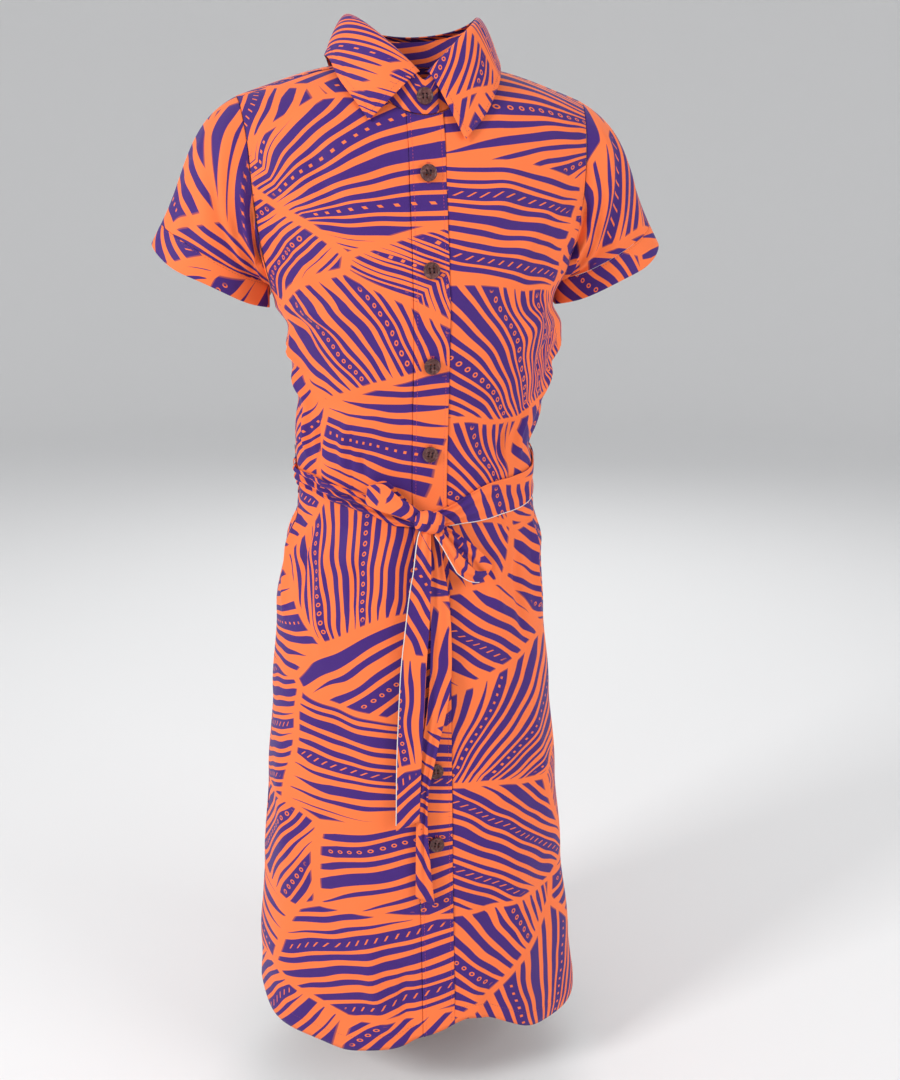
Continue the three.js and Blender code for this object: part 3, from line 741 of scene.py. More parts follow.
def rgba(red: float, green: float, blue: float) -> tuple[float, float, float, float]:
    """Opaque linear colour from the 0 to 255 values that a screen shows.

    Args:
        red, green, blue: the three values.

    Returns:
        The colour with its opacity.
    """
    channels = []
    for c in (red / 255, green / 255, blue / 255):
        channels.append(c / 12.92 if c <= 0.04045 else ((c + 0.055) / 1.055) ** 2.4)
    return (*channels, 1.0)


def toned(colour: tuple, factor: float) -> tuple[float, ...]:
    """The colour made darker or lighter by a factor."""
    return (*(min(c * factor, 1) for c in colour[:3]), 1)


# ---- Finishes ----


@dataclass(frozen=True)
class PrintedCloth:
    """Fine plain weave with patches of tapering diagonal stripes in purple on orange."""

    name: str = "printed_cloth"
    ground: tuple = rgba(254, 122, 64)
    ink: tuple = rgba(64, 30, 114)
    edge: tuple = rgba(116, 48, 76)
    patch_width: float = 0.19
    patch_height: float = 0.112
    lane_pitch: float = 0.0116
    mark_pitch: float = 0.0092
    hand_bend: float = 0.011
    thread_pitch: float = 0.00055
    reverse: bool = False

    def drawn(self, shader: Shader, uv: Value) -> Value:
        """Cut coordinates bent a little, as hand-drawn lines are.

        Args:
            shader: the material that is built.
            uv: cut coordinates in metres.

        Returns:
            The bent coordinates.
        """
        bend = shader.noise(uv, 16.0, 1.0, True)[1]
        shift = shader.vector("SCALE", shader.vector("SUBTRACT", bend, (0.5, 0.5, 0.5))[0])[0]
        shift.socket.node.inputs["Scale"].default_value = self.hand_bend
        return shader.vector("ADD", uv, shift)[0]

    def marks(self, along: Value, across: Value, number: Value, kind: Value) -> Value:
        """Mask of the small marks in a wide lane: rings, slanting bars or blocks by patch.

        Args:
            along, across: place in the lane, in metres.
            number: the lane's number.
            kind: the patch's own number, which picks the marks.

        Returns:
            One where a mark is.
        """
        step = (along / self.mark_pitch + number * 0.37).math("FRACT") - 0.5
        height = across / self.mark_pitch
        rings = (step * step + height * height).math("SQRT").between(0.12, 0.25, 0.05)
        slanted = (step - height).math("ABSOLUTE").below(0.1, 0.04)
        bars = slanted * height.math("ABSOLUTE").below(0.27, 0.04)
        blocks = step.math("ABSOLUTE").math("MAXIMUM", height.math("ABSOLUTE")).below(0.15, 0.04)
        use_rings, use_bars = kind.below(0.36, 0.01), kind.below(0.66, 0.01)
        others = bars * use_bars + blocks * (1.0 - use_bars)
        return rings * use_rings + others * (1.0 - use_rings)

    def motif(self, shader: Shader, uv: Value) -> Value:
        """Mask of the ink: one where the cloth is purple.

        Args:
            shader: the material that is built.
            uv: cut coordinates in metres.

        Returns:
            The mask.
        """
        x, y, _ = shader.split(self.drawn(shader, uv))
        cell_place = shader.combine(x / self.patch_width, y / self.patch_height)
        cell = {"voronoi_dimensions": "2D", "feature": "F1"}
        settings = {"Vector": cell_place, "Scale": 1.0, "Randomness": 0.86}
        _, colour, centre, *_ = shader.node("ShaderNodeTexVoronoi", cell, settings)
        rim = {"voronoi_dimensions": "2D", "feature": "DISTANCE_TO_EDGE"}
        border = shader.node("ShaderNodeTexVoronoi", rim, settings)[0]
        pick, taper, kind = shader.split(colour)
        cx, cy, _ = shader.split(centre)
        dx, dy = x - cx * self.patch_width, y - cy * self.patch_height
        angle = (pick * 6.0).math("FLOOR") * 0.5 - 1.25 + taper * 0.22
        cosine, sine = angle.math("COSINE"), angle.math("SINE")
        along = dx * cosine + dy * sine
        across = dy * cosine - dx * sine
        spread = (1.0 + along * (taper * 15.0 - 7.5)).math("MAXIMUM", 0.42)
        pitch = kind * 0.004 + self.lane_pitch
        fanned = across / spread / pitch + 40.0
        lane = fanned.math("FRACT")
        number = fanned.math("FLOOR")
        chance = shader.node(
            "ShaderNodeTexWhiteNoise", {"noise_dimensions": "1D"}, {"W": number * 1.37 + pick * 91.0}
        )[0]
        # groups of five lanes: a wide band with small marks, two fine lines, a band, a line
        place_in_group = (number / 5.0 + kind).math("FRACT") * 5.0
        wide = place_in_group.below(1.0, 0.01)
        band = place_in_group.between(3.0, 4.0, 0.01)
        weight = 0.35 + wide * 0.56 + band * 0.33 + chance * 0.14
        weight = weight + (along * 34.0 + number * 2.1).math("SINE") * 0.06
        reach = (border * 4.6 + chance * 1.5 + wide * 0.5 - 0.22).math("MINIMUM", 1.0)
        from_middle = (lane - 0.5).math("ABSOLUTE") * 2.0
        stripe = from_middle.below(weight * reach, 0.05)
        marks = self.marks(along, (lane - 0.5) * pitch * spread, number, taper)
        marks = marks * wide * border.between(0.06, 9.0, 0.02)
        return stripe * (1.0 - marks) * (1.0 - border.below(0.028, 0.012))

    def weave(self, shader: Shader, uv: Value) -> Value:
        """Height of the threads: a plain weave of half a millimetre, with slubs.

        Args:
            shader: the material that is built.
            uv: cut coordinates in metres.

        Returns:
            The height.
        """
        x, y, _ = shader.split(uv)
        pitch = math.tau / self.thread_pitch
        threads = (x * pitch).math("SINE") * (y * pitch).math("SINE")
        slub = shader.noise(shader.combine(x * 900.0, y * 160.0), 1.0, 2.0, True)[0]
        return threads * 0.35 + slub

    def material(self) -> Material:
        """Builds the cloth's material.

        Returns:
            The finished material.
        """
        shader = Shader(self.name)
        uv = shader.node("ShaderNodeUVMap", {"uv_map": "cut"})[0]
        ink = self.motif(shader, uv)
        tone = shader.noise(uv, 22.0, 3.0, True)[0]
        fine = shader.noise(uv, 1400.0, 2.0, True)[0]
        ground = shader.mix(tone, toned(self.ground, 0.93), self.ground)
        purple = shader.mix(fine, toned(self.ink, 0.82), toned(self.ink, 1.2))
        printed = shader.mix(ink, ground, purple)
        # the ink's edge, where its mask is between zero and one
        rim = (ink * (1.0 - ink) * 4.0) * 0.55
        colour = shader.mix(rim, printed, self.edge)
        if self.reverse:
            colour = shader.mix(0.24, rgba(226, 208, 204), colour)
        height = self.weave(shader, uv)
        bump = shader.node(
            "ShaderNodeBump", None, {"Strength": 0.16, "Distance": 0.0004, "Height": height}
        )[0]
        rough = 0.62 + fine * 0.16 - ink * 0.05
        constants = {"Sheen Weight": 0.07, "Sheen Roughness": 0.5, "Specular IOR Level": 0.26}
        return shader.surface(constants, {"Base Color": colour, "Roughness": rough, "Normal": bump})


@dataclass(frozen=True)
class ButtonShell:
    """Dark brown polished shell with soft lighter streaks."""

    name: str = "button_shell"

    def material(self) -> Material:
        """Builds the shell's material.

        Returns:
            The finished material.
        """
        shader = Shader(self.name)
        place = shader.node("ShaderNodeTexCoord")[3]
        cloud = shader.noise(place, 190.0, 4.0, False, 1.6)[0]
        stops = [(0.3, rgba(56, 26, 26)), (0.55, rgba(92, 54, 52)), (0.8, rgba(136, 96, 90))]
        colour = shader.node("ShaderNodeValToRGB", {"stops": stops}, {0: cloud})[0]
        rough = 0.3 + cloud * 0.2
        return shader.surface({"Specular IOR Level": 0.4}, {"Base Color": colour, "Roughness": rough})


@dataclass(frozen=True)
class Thread:
    """Spun sewing thread of one colour."""

    name: str
    colour: tuple

    def material(self) -> Material:
        """Builds the thread's material.

        Returns:
            The finished material.
        """
        shader = Shader(self.name)
        place = shader.node("ShaderNodeTexCoord")[3]
        fuzz = shader.noise(place, 2600.0, 1.0, False)[0]
        colour = shader.mix(fuzz, toned(self.colour, 0.7), self.colour)
        rough = 0.55 + fuzz * 0.2
        return shader.surface({"Specular IOR Level": 0.35}, {"Base Color": colour, "Roughness": rough})


@dataclass(frozen=True)
class Plain:
    """The pale floor and backdrop."""

    name: str = "studio_floor"

    def material(self) -> Material:
        """The finished material."""
        shader = Shader(self.name)
        return shader.surface({"Base Color": (0.8, 0.8, 0.8, 1), "Roughness": 0.9}, {})


# ---- Cloth pieces ----


class Held(Enum):
    """How a sheet is held in shape."""

    HUNG = "hung"
    STRETCHED = "stretched"
    FOLDED = "folded"


@dataclass
class Wardrobe:
    """The materials that the pieces share."""

    face: Material = field(default_factory=lambda: PrintedCloth().material())
    back: Material = field(
        default_factory=lambda: PrintedCloth(name="printed_cloth_reverse", reverse=True).material()
    )
    shell: Material = field(default_factory=lambda: ButtonShell().material())
    thread: Material = field(
        default_factory=lambda: Thread("thread_plum", rgba(150, 78, 96)).material()
    )
    coral: Material = field(
        default_factory=lambda: Thread("thread_coral", rgba(236, 92, 96)).material()
    )
    lining: Material = field(
        default_factory=lambda: Thread("edge_of_lining", rgba(240, 232, 228)).material()
    )
    # near-black brown thread over the button holes: partly the thread's own colour, partly painted shade that
    # makes the holes read dark
    button_thread_and_hole_shade: Material = field(
        default_factory=lambda: Thread("thread_brown_and_hole_shade", rgba(52, 28, 28)).material()
    )


def grid_normals(points: Array, closed: bool) -> Array:
    """Outward normals of a grid with rows running downward and columns to the left.

    Args:
        points: rows by columns of positions.
        closed: whether the last column meets the first.

    Returns:
        A unit normal for each point.
    """
    down = np.gradient(points, axis=0)
    if closed:
        across = np.roll(points, -1, 1) - np.roll(points, 1, 1)
    else:
        across = np.gradient(points, axis=1)
    return unit(np.cross(down, across))


def cut_lengths(points: Array) -> tuple[Array, Array]:
    """Cut coordinates of a grid: length along each row and down each column.

    Args:
        points: rows by columns of positions.

    Returns:
        The lengths across and down, below zero downward.
    """
    across = np.concatenate([np.zeros((len(points), 1)), np.cumsum(steps(points, 1), 1)], 1)
    down = np.concatenate([np.zeros((1, points.shape[1])), np.cumsum(steps(points, 0), 0)], 0)
    return across, -down


@dataclass
class Sheet:
    """One cut piece of cloth as a thin shell over a grid of points, in millimetres."""

    node: str
    points: Array
    cut: tuple[Array, Array]
    thickness: float = 0.6
    closed: bool = False
    both_printed: bool = False
    rim_is_reverse: bool = False
    held: Held = Held.HUNG
    turn_print: float = 0.0
    shift_print: tuple[float, float] = (0.0, 0.0)

    @property
    def name(self) -> str:
        """Name of the piece, after the node that it replaces."""
        return f"cloth_{self.node}"

    def build(self, wardrobe: Wardrobe) -> bpy.types.Object:
        """Args:
            wardrobe: the shared materials.

        Returns:
            The finished object.
        """
        rows, columns = self.points.shape[:2]
        mesh = bpy.data.meshes.new(self.name)
        faces = []
        last = columns if self.closed else columns - 1
        for i in range(rows - 1):
            for j in range(last):
                k = (j + 1) % columns
                faces.append((i * columns + j, (i + 1) * columns + j, (i + 1) * columns + k, i * columns + k))
        mesh.from_pydata((self.points.reshape(-1, 3) * MM).tolist(), [], faces)
        self.lay_print(mesh, rows, last)
        mesh.shade_smooth()
        piece = placed(self.name, mesh)
        mesh.materials.append(wardrobe.face)
        mesh.materials.append(wardrobe.face if self.both_printed else wardrobe.back)
        shell = piece.modifiers.new("thickness", "SOLIDIFY")
        shell.thickness = self.thickness * MM
        shell.offset = -1
        shell.material_offset = 1
        shell.material_offset_rim = 1 if self.rim_is_reverse else 0
        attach(piece, "root")
        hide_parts(self.node)
        self.declare()
        LOG.info("%s: %d by %d points", self.name, rows, columns)
        return piece

    def lay_print(self, mesh: bpy.types.Mesh, rows: int, last: int) -> None:
        """Writes the cut coordinates, in metres, as the mesh's own map.

        Args:
            mesh: the sheet's mesh.
            rows: rows of points.
            last: number of faces in a row.
        """
        across, down = self.cut
        if self.closed:
            closing = 2 * across[:, -1:] - across[:, -2:-1]
            across = np.concatenate([across, closing], 1)
            down = np.concatenate([down, down[:, :1]], 1)
        cosine, sine = math.cos(self.turn_print), math.sin(self.turn_print)
        u = (across * cosine - down * sine) * MM + self.shift_print[0]
        v = (across * sine + down * cosine) * MM + self.shift_print[1]
        layer = mesh.uv_layers.new(name="cut")
        corners = []
        for i in range(rows - 1):
            for j in range(last):
                for a, b in ((i, j), (i + 1, j), (i + 1, j + 1), (i, j + 1)):
                    corners.append((u[a, b], v[a, b]))
        layer.data.foreach_set("uv", np.array(corners, np.float32).ravel())

    def declare(self) -> None:
        """Works out the flat width, length and area that the piece was cut to, which are not passed on.
        """
        across, down = self.cut
        grid = np.concatenate([self.points, self.points[:, :1]], 1) if self.closed else self.points
        if self.held is Held.HUNG:
            width = float(steps(grid, 1).sum(1).max()) * MM
            length = float(steps(grid, 0).sum(0).max()) * MM
        else:
            width, length = float(np.ptp(across)) * MM, float(np.ptp(down)) * MM
            width *= grid.shape[1] / (grid.shape[1] - 1) if self.closed else 1
        narrowest, least_share = 0.0105, 0.31
        width = max(width, narrowest)  # narrow strips are folded from wider ones
        a = grid[1:, 1:] - grid[:-1, :-1]
        b = grid[1:, :-1] - grid[:-1, 1:]
        area = float(np.linalg.norm(np.cross(a, b), axis=-1).sum() / 2) * MM * MM
        area = min(max(area, least_share * width * length), width * length)


def close_shares(count: int, length: float) -> Array:
    """Even shares with two more near each end, half a millimetre and two millimetres in."""
    return shares(count, 0.5 / length, 2.0 / length)


def tucked(points: Array, sides: str, depth: float = 0.5) -> Array:
    """Turns edges in towards the inside, as cloth rolls into a seam.

    Args:
        points: rows by columns of positions.
        sides: any of t, b, l and r for the top, bottom, left and right edges.
        depth: how far the very edge goes in.

    Returns:
        The changed positions.
    """
    normals = grid_normals(points, False)
    sink = np.zeros(points.shape[:2])
    for side, cells in (("t", np.s_[0, :]), ("b", np.s_[-1, :]), ("l", np.s_[:, 0]), ("r", np.s_[:, -1])):
        if side in sides:
            sink[cells] = depth
    return points - normals * sink[..., None]


@dataclass
class Stitching:
    """Rows of short raised stitches, gathered into one mesh for each piece they are sewn on."""

    name: str
    node: str
    length: float = 2.5
    gap: float = 0.8
    width: float = 0.42
    height: float = 0.28
    first: float = 0.6
    raised: float = 0.03
    sunk: float = 0.25
    runs: list[tuple[Array, Array]] = field(default_factory=list)

    def run(self, points: Array, normals: Array) -> None:
        """Adds a row of stitches along a line of points with their outward normals."""
        self.runs.append((points, unit(normals)))

    def along_grid(self, points: Array, row: float | None = None, column: float | None = None) -> None:
        """Adds a row of stitches along a row or a column of a grid, which may lie between two.

        Args:
            points: rows by columns of positions.
            row: number of the row, or none.
            column: number of the column, where no row is given.
        """
        normals = grid_normals(points, False)
        index = row if row is not None else column
        low = int(math.floor(index))
        high = min(low + 1, points.shape[0 if row is not None else 1] - 1)
        t = index - low
        pick = (lambda g, k: g[k]) if row is not None else (lambda g, k: g[:, k])
        line = lerp(pick(points, low), pick(points, high), t)
        facing = lerp(pick(normals, low), pick(normals, high), t)
        self.run(line, facing)

    def build(self, thread: Material) -> bpy.types.Object:
        """Makes every stitch as a low lozenge sunk a little into the cloth.

        Args:
            thread: the thread's material.

        Returns:
            The finished object.
        """
        vertices, faces = [], []
        for points, normals in self.runs:
            travelled = np.concatenate([[0], np.cumsum(steps(points, 0))])
            pitch = self.length + self.gap
            for start in np.arange(self.first, travelled[-1] - self.length, pitch):
                middle = start + self.length / 2
                stations = np.array([start, middle, start + self.length])
                centre = np.stack([np.interp(stations, travelled, points[:, k]) for k in range(3)], 1)
                up = unit(np.array([np.interp(middle, travelled, normals[:, k]) for k in range(3)]))
                side = unit(np.cross(centre[2] - centre[0], up)) * self.width / 2
                base = len(vertices)
                ring = [centre[0], centre[1] + side, centre[2], centre[1] - side]
                vertices += [p + up * self.raised for p in ring]
                vertices += [centre[1] + up * self.height, centre[1] - up * self.sunk]
                for k in range(4):
                    n = (k + 1) % 4
                    faces += [(base + k, base + n, base + 4), (base + n, base + k, base + 5)]
        mesh = bpy.data.meshes.new(self.name)
        mesh.from_pydata((np.array(vertices) * MM).tolist(), [], faces)
        piece = placed(self.name, mesh)
        mesh.materials.append(thread)
        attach(piece, "root")
        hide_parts(self.node)
        LOG.info("%s: %d stitches", self.name, len(vertices) // 6)
        return piece


@dataclass
class Piping:
    """The thin pale line where the belt's lining shows along an edge."""

    name: str
    node: str
    radius: float = 0.55
    sides: int = 6

    def build(self, points: Array, normals: Array, material: Material) -> bpy.types.Object:
        """Makes a closed piping of a few flat sides along a line of points.

        Args:
            points: the line of the piping's middle.
            normals: outward directions along it.
            material: the lining's material.

        Returns:
            The finished object.
        """
        along = unit(np.gradient(points, axis=0))
        up = unit(normals)
        side = unit(np.cross(along, up))
        vertices = []
        for k in range(self.sides):
            angle = k * math.tau / self.sides
            vertices.append(points + (up * math.cos(angle) + side * math.sin(angle)) * self.radius)
        ring = np.stack(vertices, 1)
        count, sides = len(points), self.sides
        faces = [tuple(range(sides)), tuple(reversed(range((count - 1) * sides, count * sides)))]
        for i in range(count - 1):
            for k in range(sides):
                n = (k + 1) % sides
                faces.append((i * sides + k, (i + 1) * sides + k, (i + 1) * sides + n, i * sides + n))
        mesh = bpy.data.meshes.new(self.name)
        mesh.from_pydata((ring.reshape(-1, 3) * MM).tolist(), [], faces)
        mesh.shade_smooth()
        piece = placed(self.name, mesh)
        face_outward(mesh)
        mesh.materials.append(material)
        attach(piece, "root")
        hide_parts(self.node)
        LOG.info("%s: %d points", self.name, count)
        return piece


FORM = Form()


@dataclass
class Body:
    """Fronts, their bands, the back and the yoke."""

    form: Form = FORM
    upper_rows: int = 60
    front_columns: int = 62
    back_columns: int = 130
    band_lift: float = 0.95
    under_lift: float = -0.45
    hem_turned: float = 18
    hem_thickness: float = 0.45
    stitch_inset: float = 1.5
    # a dart lies at a turn in radians, measured from the centre front or the centre back
    dart_turn: float = 0.60
    back_dart_turn: float = 0.62
    dart_reach: Stretch = Stretch(-300, -372, -470, -545)
    dart_depth: float = 0.9
    dart_width: float = 1.3
    dart_radius: float = 140
    # how much narrower than the form each cut piece is
    front_ease: float = 0.93
    back_ease: float = 0.85
    yoke_half: float = 200

    def lower_alongs(self) -> Array:
        """Lengths of the rows from the underarm down to the hem, closer round the waist."""
        runs = ((self.form.underarm_level, -360, 30), (-360, -500, 46), (-500, self.form.hem_level, 112))
        levels = np.concatenate([np.linspace(a, b, n + 1)[1:] for a, b, n in runs])
        return self.form.along_of(levels)

    def dart(self, turn: Array, along: Array, at: float) -> Array:
        """Sunk line of a waist dart, deepest at the waist.

        Args:
            turn, along: places on the form.
            at: turn of the dart.

        Returns:
            The height, below zero in the dart's line.
        """
        level = self.form.level_of(along)
        reach = self.dart_reach.at(level)
        off = (np.abs(turn) - at) * self.dart_radius
        line = -self.dart_depth * reach * bell(off, 0, self.dart_width)
        # the folded cloth inside shows as a low ridge beside the line
        return line + 0.35 * reach * bell(off, 3, 2.4)

    def hem_ridge(self, along: Array, end: Array) -> Array:
        """Slight thickness of the turned hem with the dimple of its stitching."""
        up = end - along
        edge = self.hem_turned
        fold = self.hem_thickness * (1 - smooth(edge - 1, edge + 1.5, up))
        return fold - 0.5 * bell(up, edge - self.stitch_inset, 1)

    def front_grid(self, side: int) -> tuple[Array, Array, Array]:
        """Turns, lengths and heights of one front, from the band's seam to the side.

        Args:
            side: 1 for the wearer's left, -1 for the right.

        Returns:
            Arrays of turns, lengths down the cloth, and heights above the form.
        """
        form = self.form
        edge = form.band_half + 0.1
        t = close_shares(self.upper_rows, 210)
        arm = lerp(form.yoke_front, form.underarm, t)
        u = close_shares(self.front_columns, 130)
        neck_turn = lerp(form.neck_turn_yoke, form.neck_turn_band, np.minimum(t * 2, 1))
        neck_x, neck_along = form.neck_seam(neck_turn)
        top = float(-form.neck_seam(form.neck_turn_band)[1])
        past = np.clip(t * 2 - 1, 0, 1)
        beside_neck = np.maximum(-neck_along, form.yoke_front)
        inner_along = np.where(t < 0.5, beside_neck, lerp(top, form.underarm, past))
        inner_x = np.where(t < 0.5, neck_x, edge)
        inner = form.turn_of(inner_x, inner_along)
        outer = form.armhole_turn(arm, "front")
        outer[-1] = math.pi / 2
        turns = inner[:, None] + (outer - inner)[:, None] * u
        alongs = inner_along[:, None] + (arm - inner_along)[:, None] * u
        lower = self.lower_alongs()
        low_inner = np.abs(form.turn_of(side * edge, lower))
        low_turns = low_inner[:, None] + (math.pi / 2 - low_inner)[:, None] * u
        part = ((lower - form.underarm) / (form.hem - form.underarm))[:, None]
        ends = form.hem_at(side * low_turns)
        low_alongs = lerp(form.underarm, ends, part)
        turns = np.concatenate([turns, low_turns])
        alongs = np.concatenate([alongs, low_alongs])
        heights = self.dart(turns, alongs, self.dart_turn)
        heights = heights + self.hem_ridge(alongs, form.hem_at(side * turns))
        return side * turns, alongs, heights

    def front(self, side: int) -> Grid:
        """Points and cut lengths of one front, its columns running to the wearer's left.

        Args:
            side: 1 for the wearer's left, -1 for the right.

        Returns:
            The grid's points and its cut lengths.
        """
        turns, alongs, heights = self.front_grid(side)
        if side < 0:
            turns, alongs, heights = turns[:, ::-1], alongs[:, ::-1], heights[:, ::-1]
        points = self.form.place(turns, alongs, heights)
        return tucked(points, "tlr"), (turns * self.form.cut_half * self.front_ease, -alongs)

    def band(self, lift: float, slack: float) -> Grid:
        """Points and cut lengths of a front band at a height, with its front edge turned.

        Args:
            lift: height above the fronts.
            slack: how far the band waves between its buttons.

        Returns:
            The grid's points and its cut lengths.
        """
        form = self.form
        edge = form.band_half + 0.2
        outward = [0.4, 0.72, 0.8, 0.86, 0.93, 0.975, 1]
        columns = np.array([*(-c for c in reversed(outward)), 0, *outward])
        rim = -0.4 * (np.abs(columns) > 0.99) - 0.1 * (np.abs(np.abs(columns) - 0.975) < 0.01)
        rim = rim - 0.16 * (np.abs(np.abs(columns) - 0.8) < 0.01)
        x = columns * edge
        top = -form.neck_seam(np.arcsin(np.clip(x / form.neck_half, -1, 1)))[1] + 0.9
        upper = np.linspace(0, 1, 60)[:, None]
        high = lerp(top[None, :], form.underarm, upper)
        lower = self.lower_alongs()
        turns = form.turn_of(x[None, :], lower[:, None])
        part = ((lower - form.underarm) / (form.hem - form.underarm))[:, None]
        low = lerp(form.underarm, form.hem_at(turns), part)
        alongs = np.concatenate([high, low])
        turns = form.turn_of(np.broadcast_to(x, alongs.shape), alongs)
        level = form.level_of(alongs)
        sway = slack * np.sin(level / 19 + x[None, :] * 0.06) * np.sin(level / 61)
        heights = lift + rim[None, :] + sway * smooth(14, 40, np.abs(level - form.belt_front))
        points = form.place(turns, alongs, heights)
        return points, (turns * form.cut_half * self.front_ease, -alongs)

    def back(self) -> Grid:
        """Points and cut lengths of the back, from the wearer's left side seam to the right.

        Returns:
            The grid's points and its cut lengths.
        """
        form = self.form
        u = close_shares(self.back_columns, 290)
        inward = 1 - np.abs(2 * u - 1)
        t = close_shares(40, 150)
        arm = lerp(form.yoke_back_arm, form.underarm, t)
        limit = math.pi - form.armhole_turn(arm, "back")
        limit[-1] = math.pi / 2
        seam = lerp(form.yoke_back_arm, form.yoke_back_centre, inward)
        high = seam[None, :] + (form.underarm - seam)[None, :] * t[:, None]
        high_turn = limit[:, None] + (2 * math.pi - 2 * limit)[:, None] * u
        lower = self.lower_alongs()
        low_turn = np.broadcast_to(math.pi / 2 + math.pi * u, (len(lower), len(u)))
        part = ((lower - form.underarm) / (form.hem - form.underarm))[:, None]
        low = lerp(form.underarm, form.hem_at(low_turn), part)
        alongs = np.concatenate([high, low])
        turns = np.concatenate([high_turn, low_turn])
        heights = self.dart(np.abs(turns - math.pi), alongs, self.back_dart_turn)
        heights = heights + self.hem_ridge(alongs, form.hem_at(turns))
        points = form.place(turns, alongs, heights)
        return tucked(points, "tlr"), (turns * form.cut_half * self.back_ease, -alongs)

    def yoke(self) -> Grid:
        """Points and cut lengths of the yoke, from the neck seam out, front seam to front seam.

        Returns:
            The grid's points and its cut lengths.
        """
        form = self.form
        arm_share = close_shares(44, 150)
        front_arm = lerp(-form.yoke_front, form.yoke_back_arm, arm_share)
        back_share = shares(60)[1:]
        arm_parts, seam_parts = 5, 10  # how much of the neck seam faces the armhole and the back
        parts = arm_parts + seam_parts
        seam_along = lerp(form.yoke_back_arm, form.yoke_back_centre, back_share)
        outer_along = np.concatenate([front_arm, seam_along])
        arm_turn = np.where(
            front_arm < 0,
            form.armhole_turn(np.abs(front_arm), "front"),
            form.armhole_turn(np.abs(front_arm), "back"),
        )
        last_turn = float(form.armhole_turn(form.yoke_back_arm, "back"))
        outer_turn = np.concatenate([arm_turn, last_turn * (1 - back_share)])
        share = np.concatenate([arm_share * arm_parts, arm_parts + back_share * seam_parts]) / parts
        neck_x, neck_along = form.neck_seam(lerp(form.neck_turn_yoke, math.pi, share))
        neck_along[0] = outer_along[0]
        neck_turn = form.turn_of(neck_x, np.abs(neck_along))
        t = close_shares(46, 110)[:, None]
        turns = neck_turn[None, :] + (outer_turn - neck_turn)[None, :] * t
        alongs = neck_along[None, :] + (outer_along - neck_along)[None, :] * t
        left = form.over_shoulder(turns, alongs)
        right = form.over_shoulder(turns, alongs)[:, ::-1] * np.array([-1, 1, 1])
        points = np.concatenate([left, right[:, 1:]], 1)
        across = np.sin(turns) * self.yoke_half
        cut_x = np.concatenate([across, -across[:, ::-1][:, 1:]], 1)
        cut_y = np.concatenate([alongs, alongs[:, ::-1][:, 1:]], 1)
        return tucked(points, "tblr"), (cut_x, -cut_y)


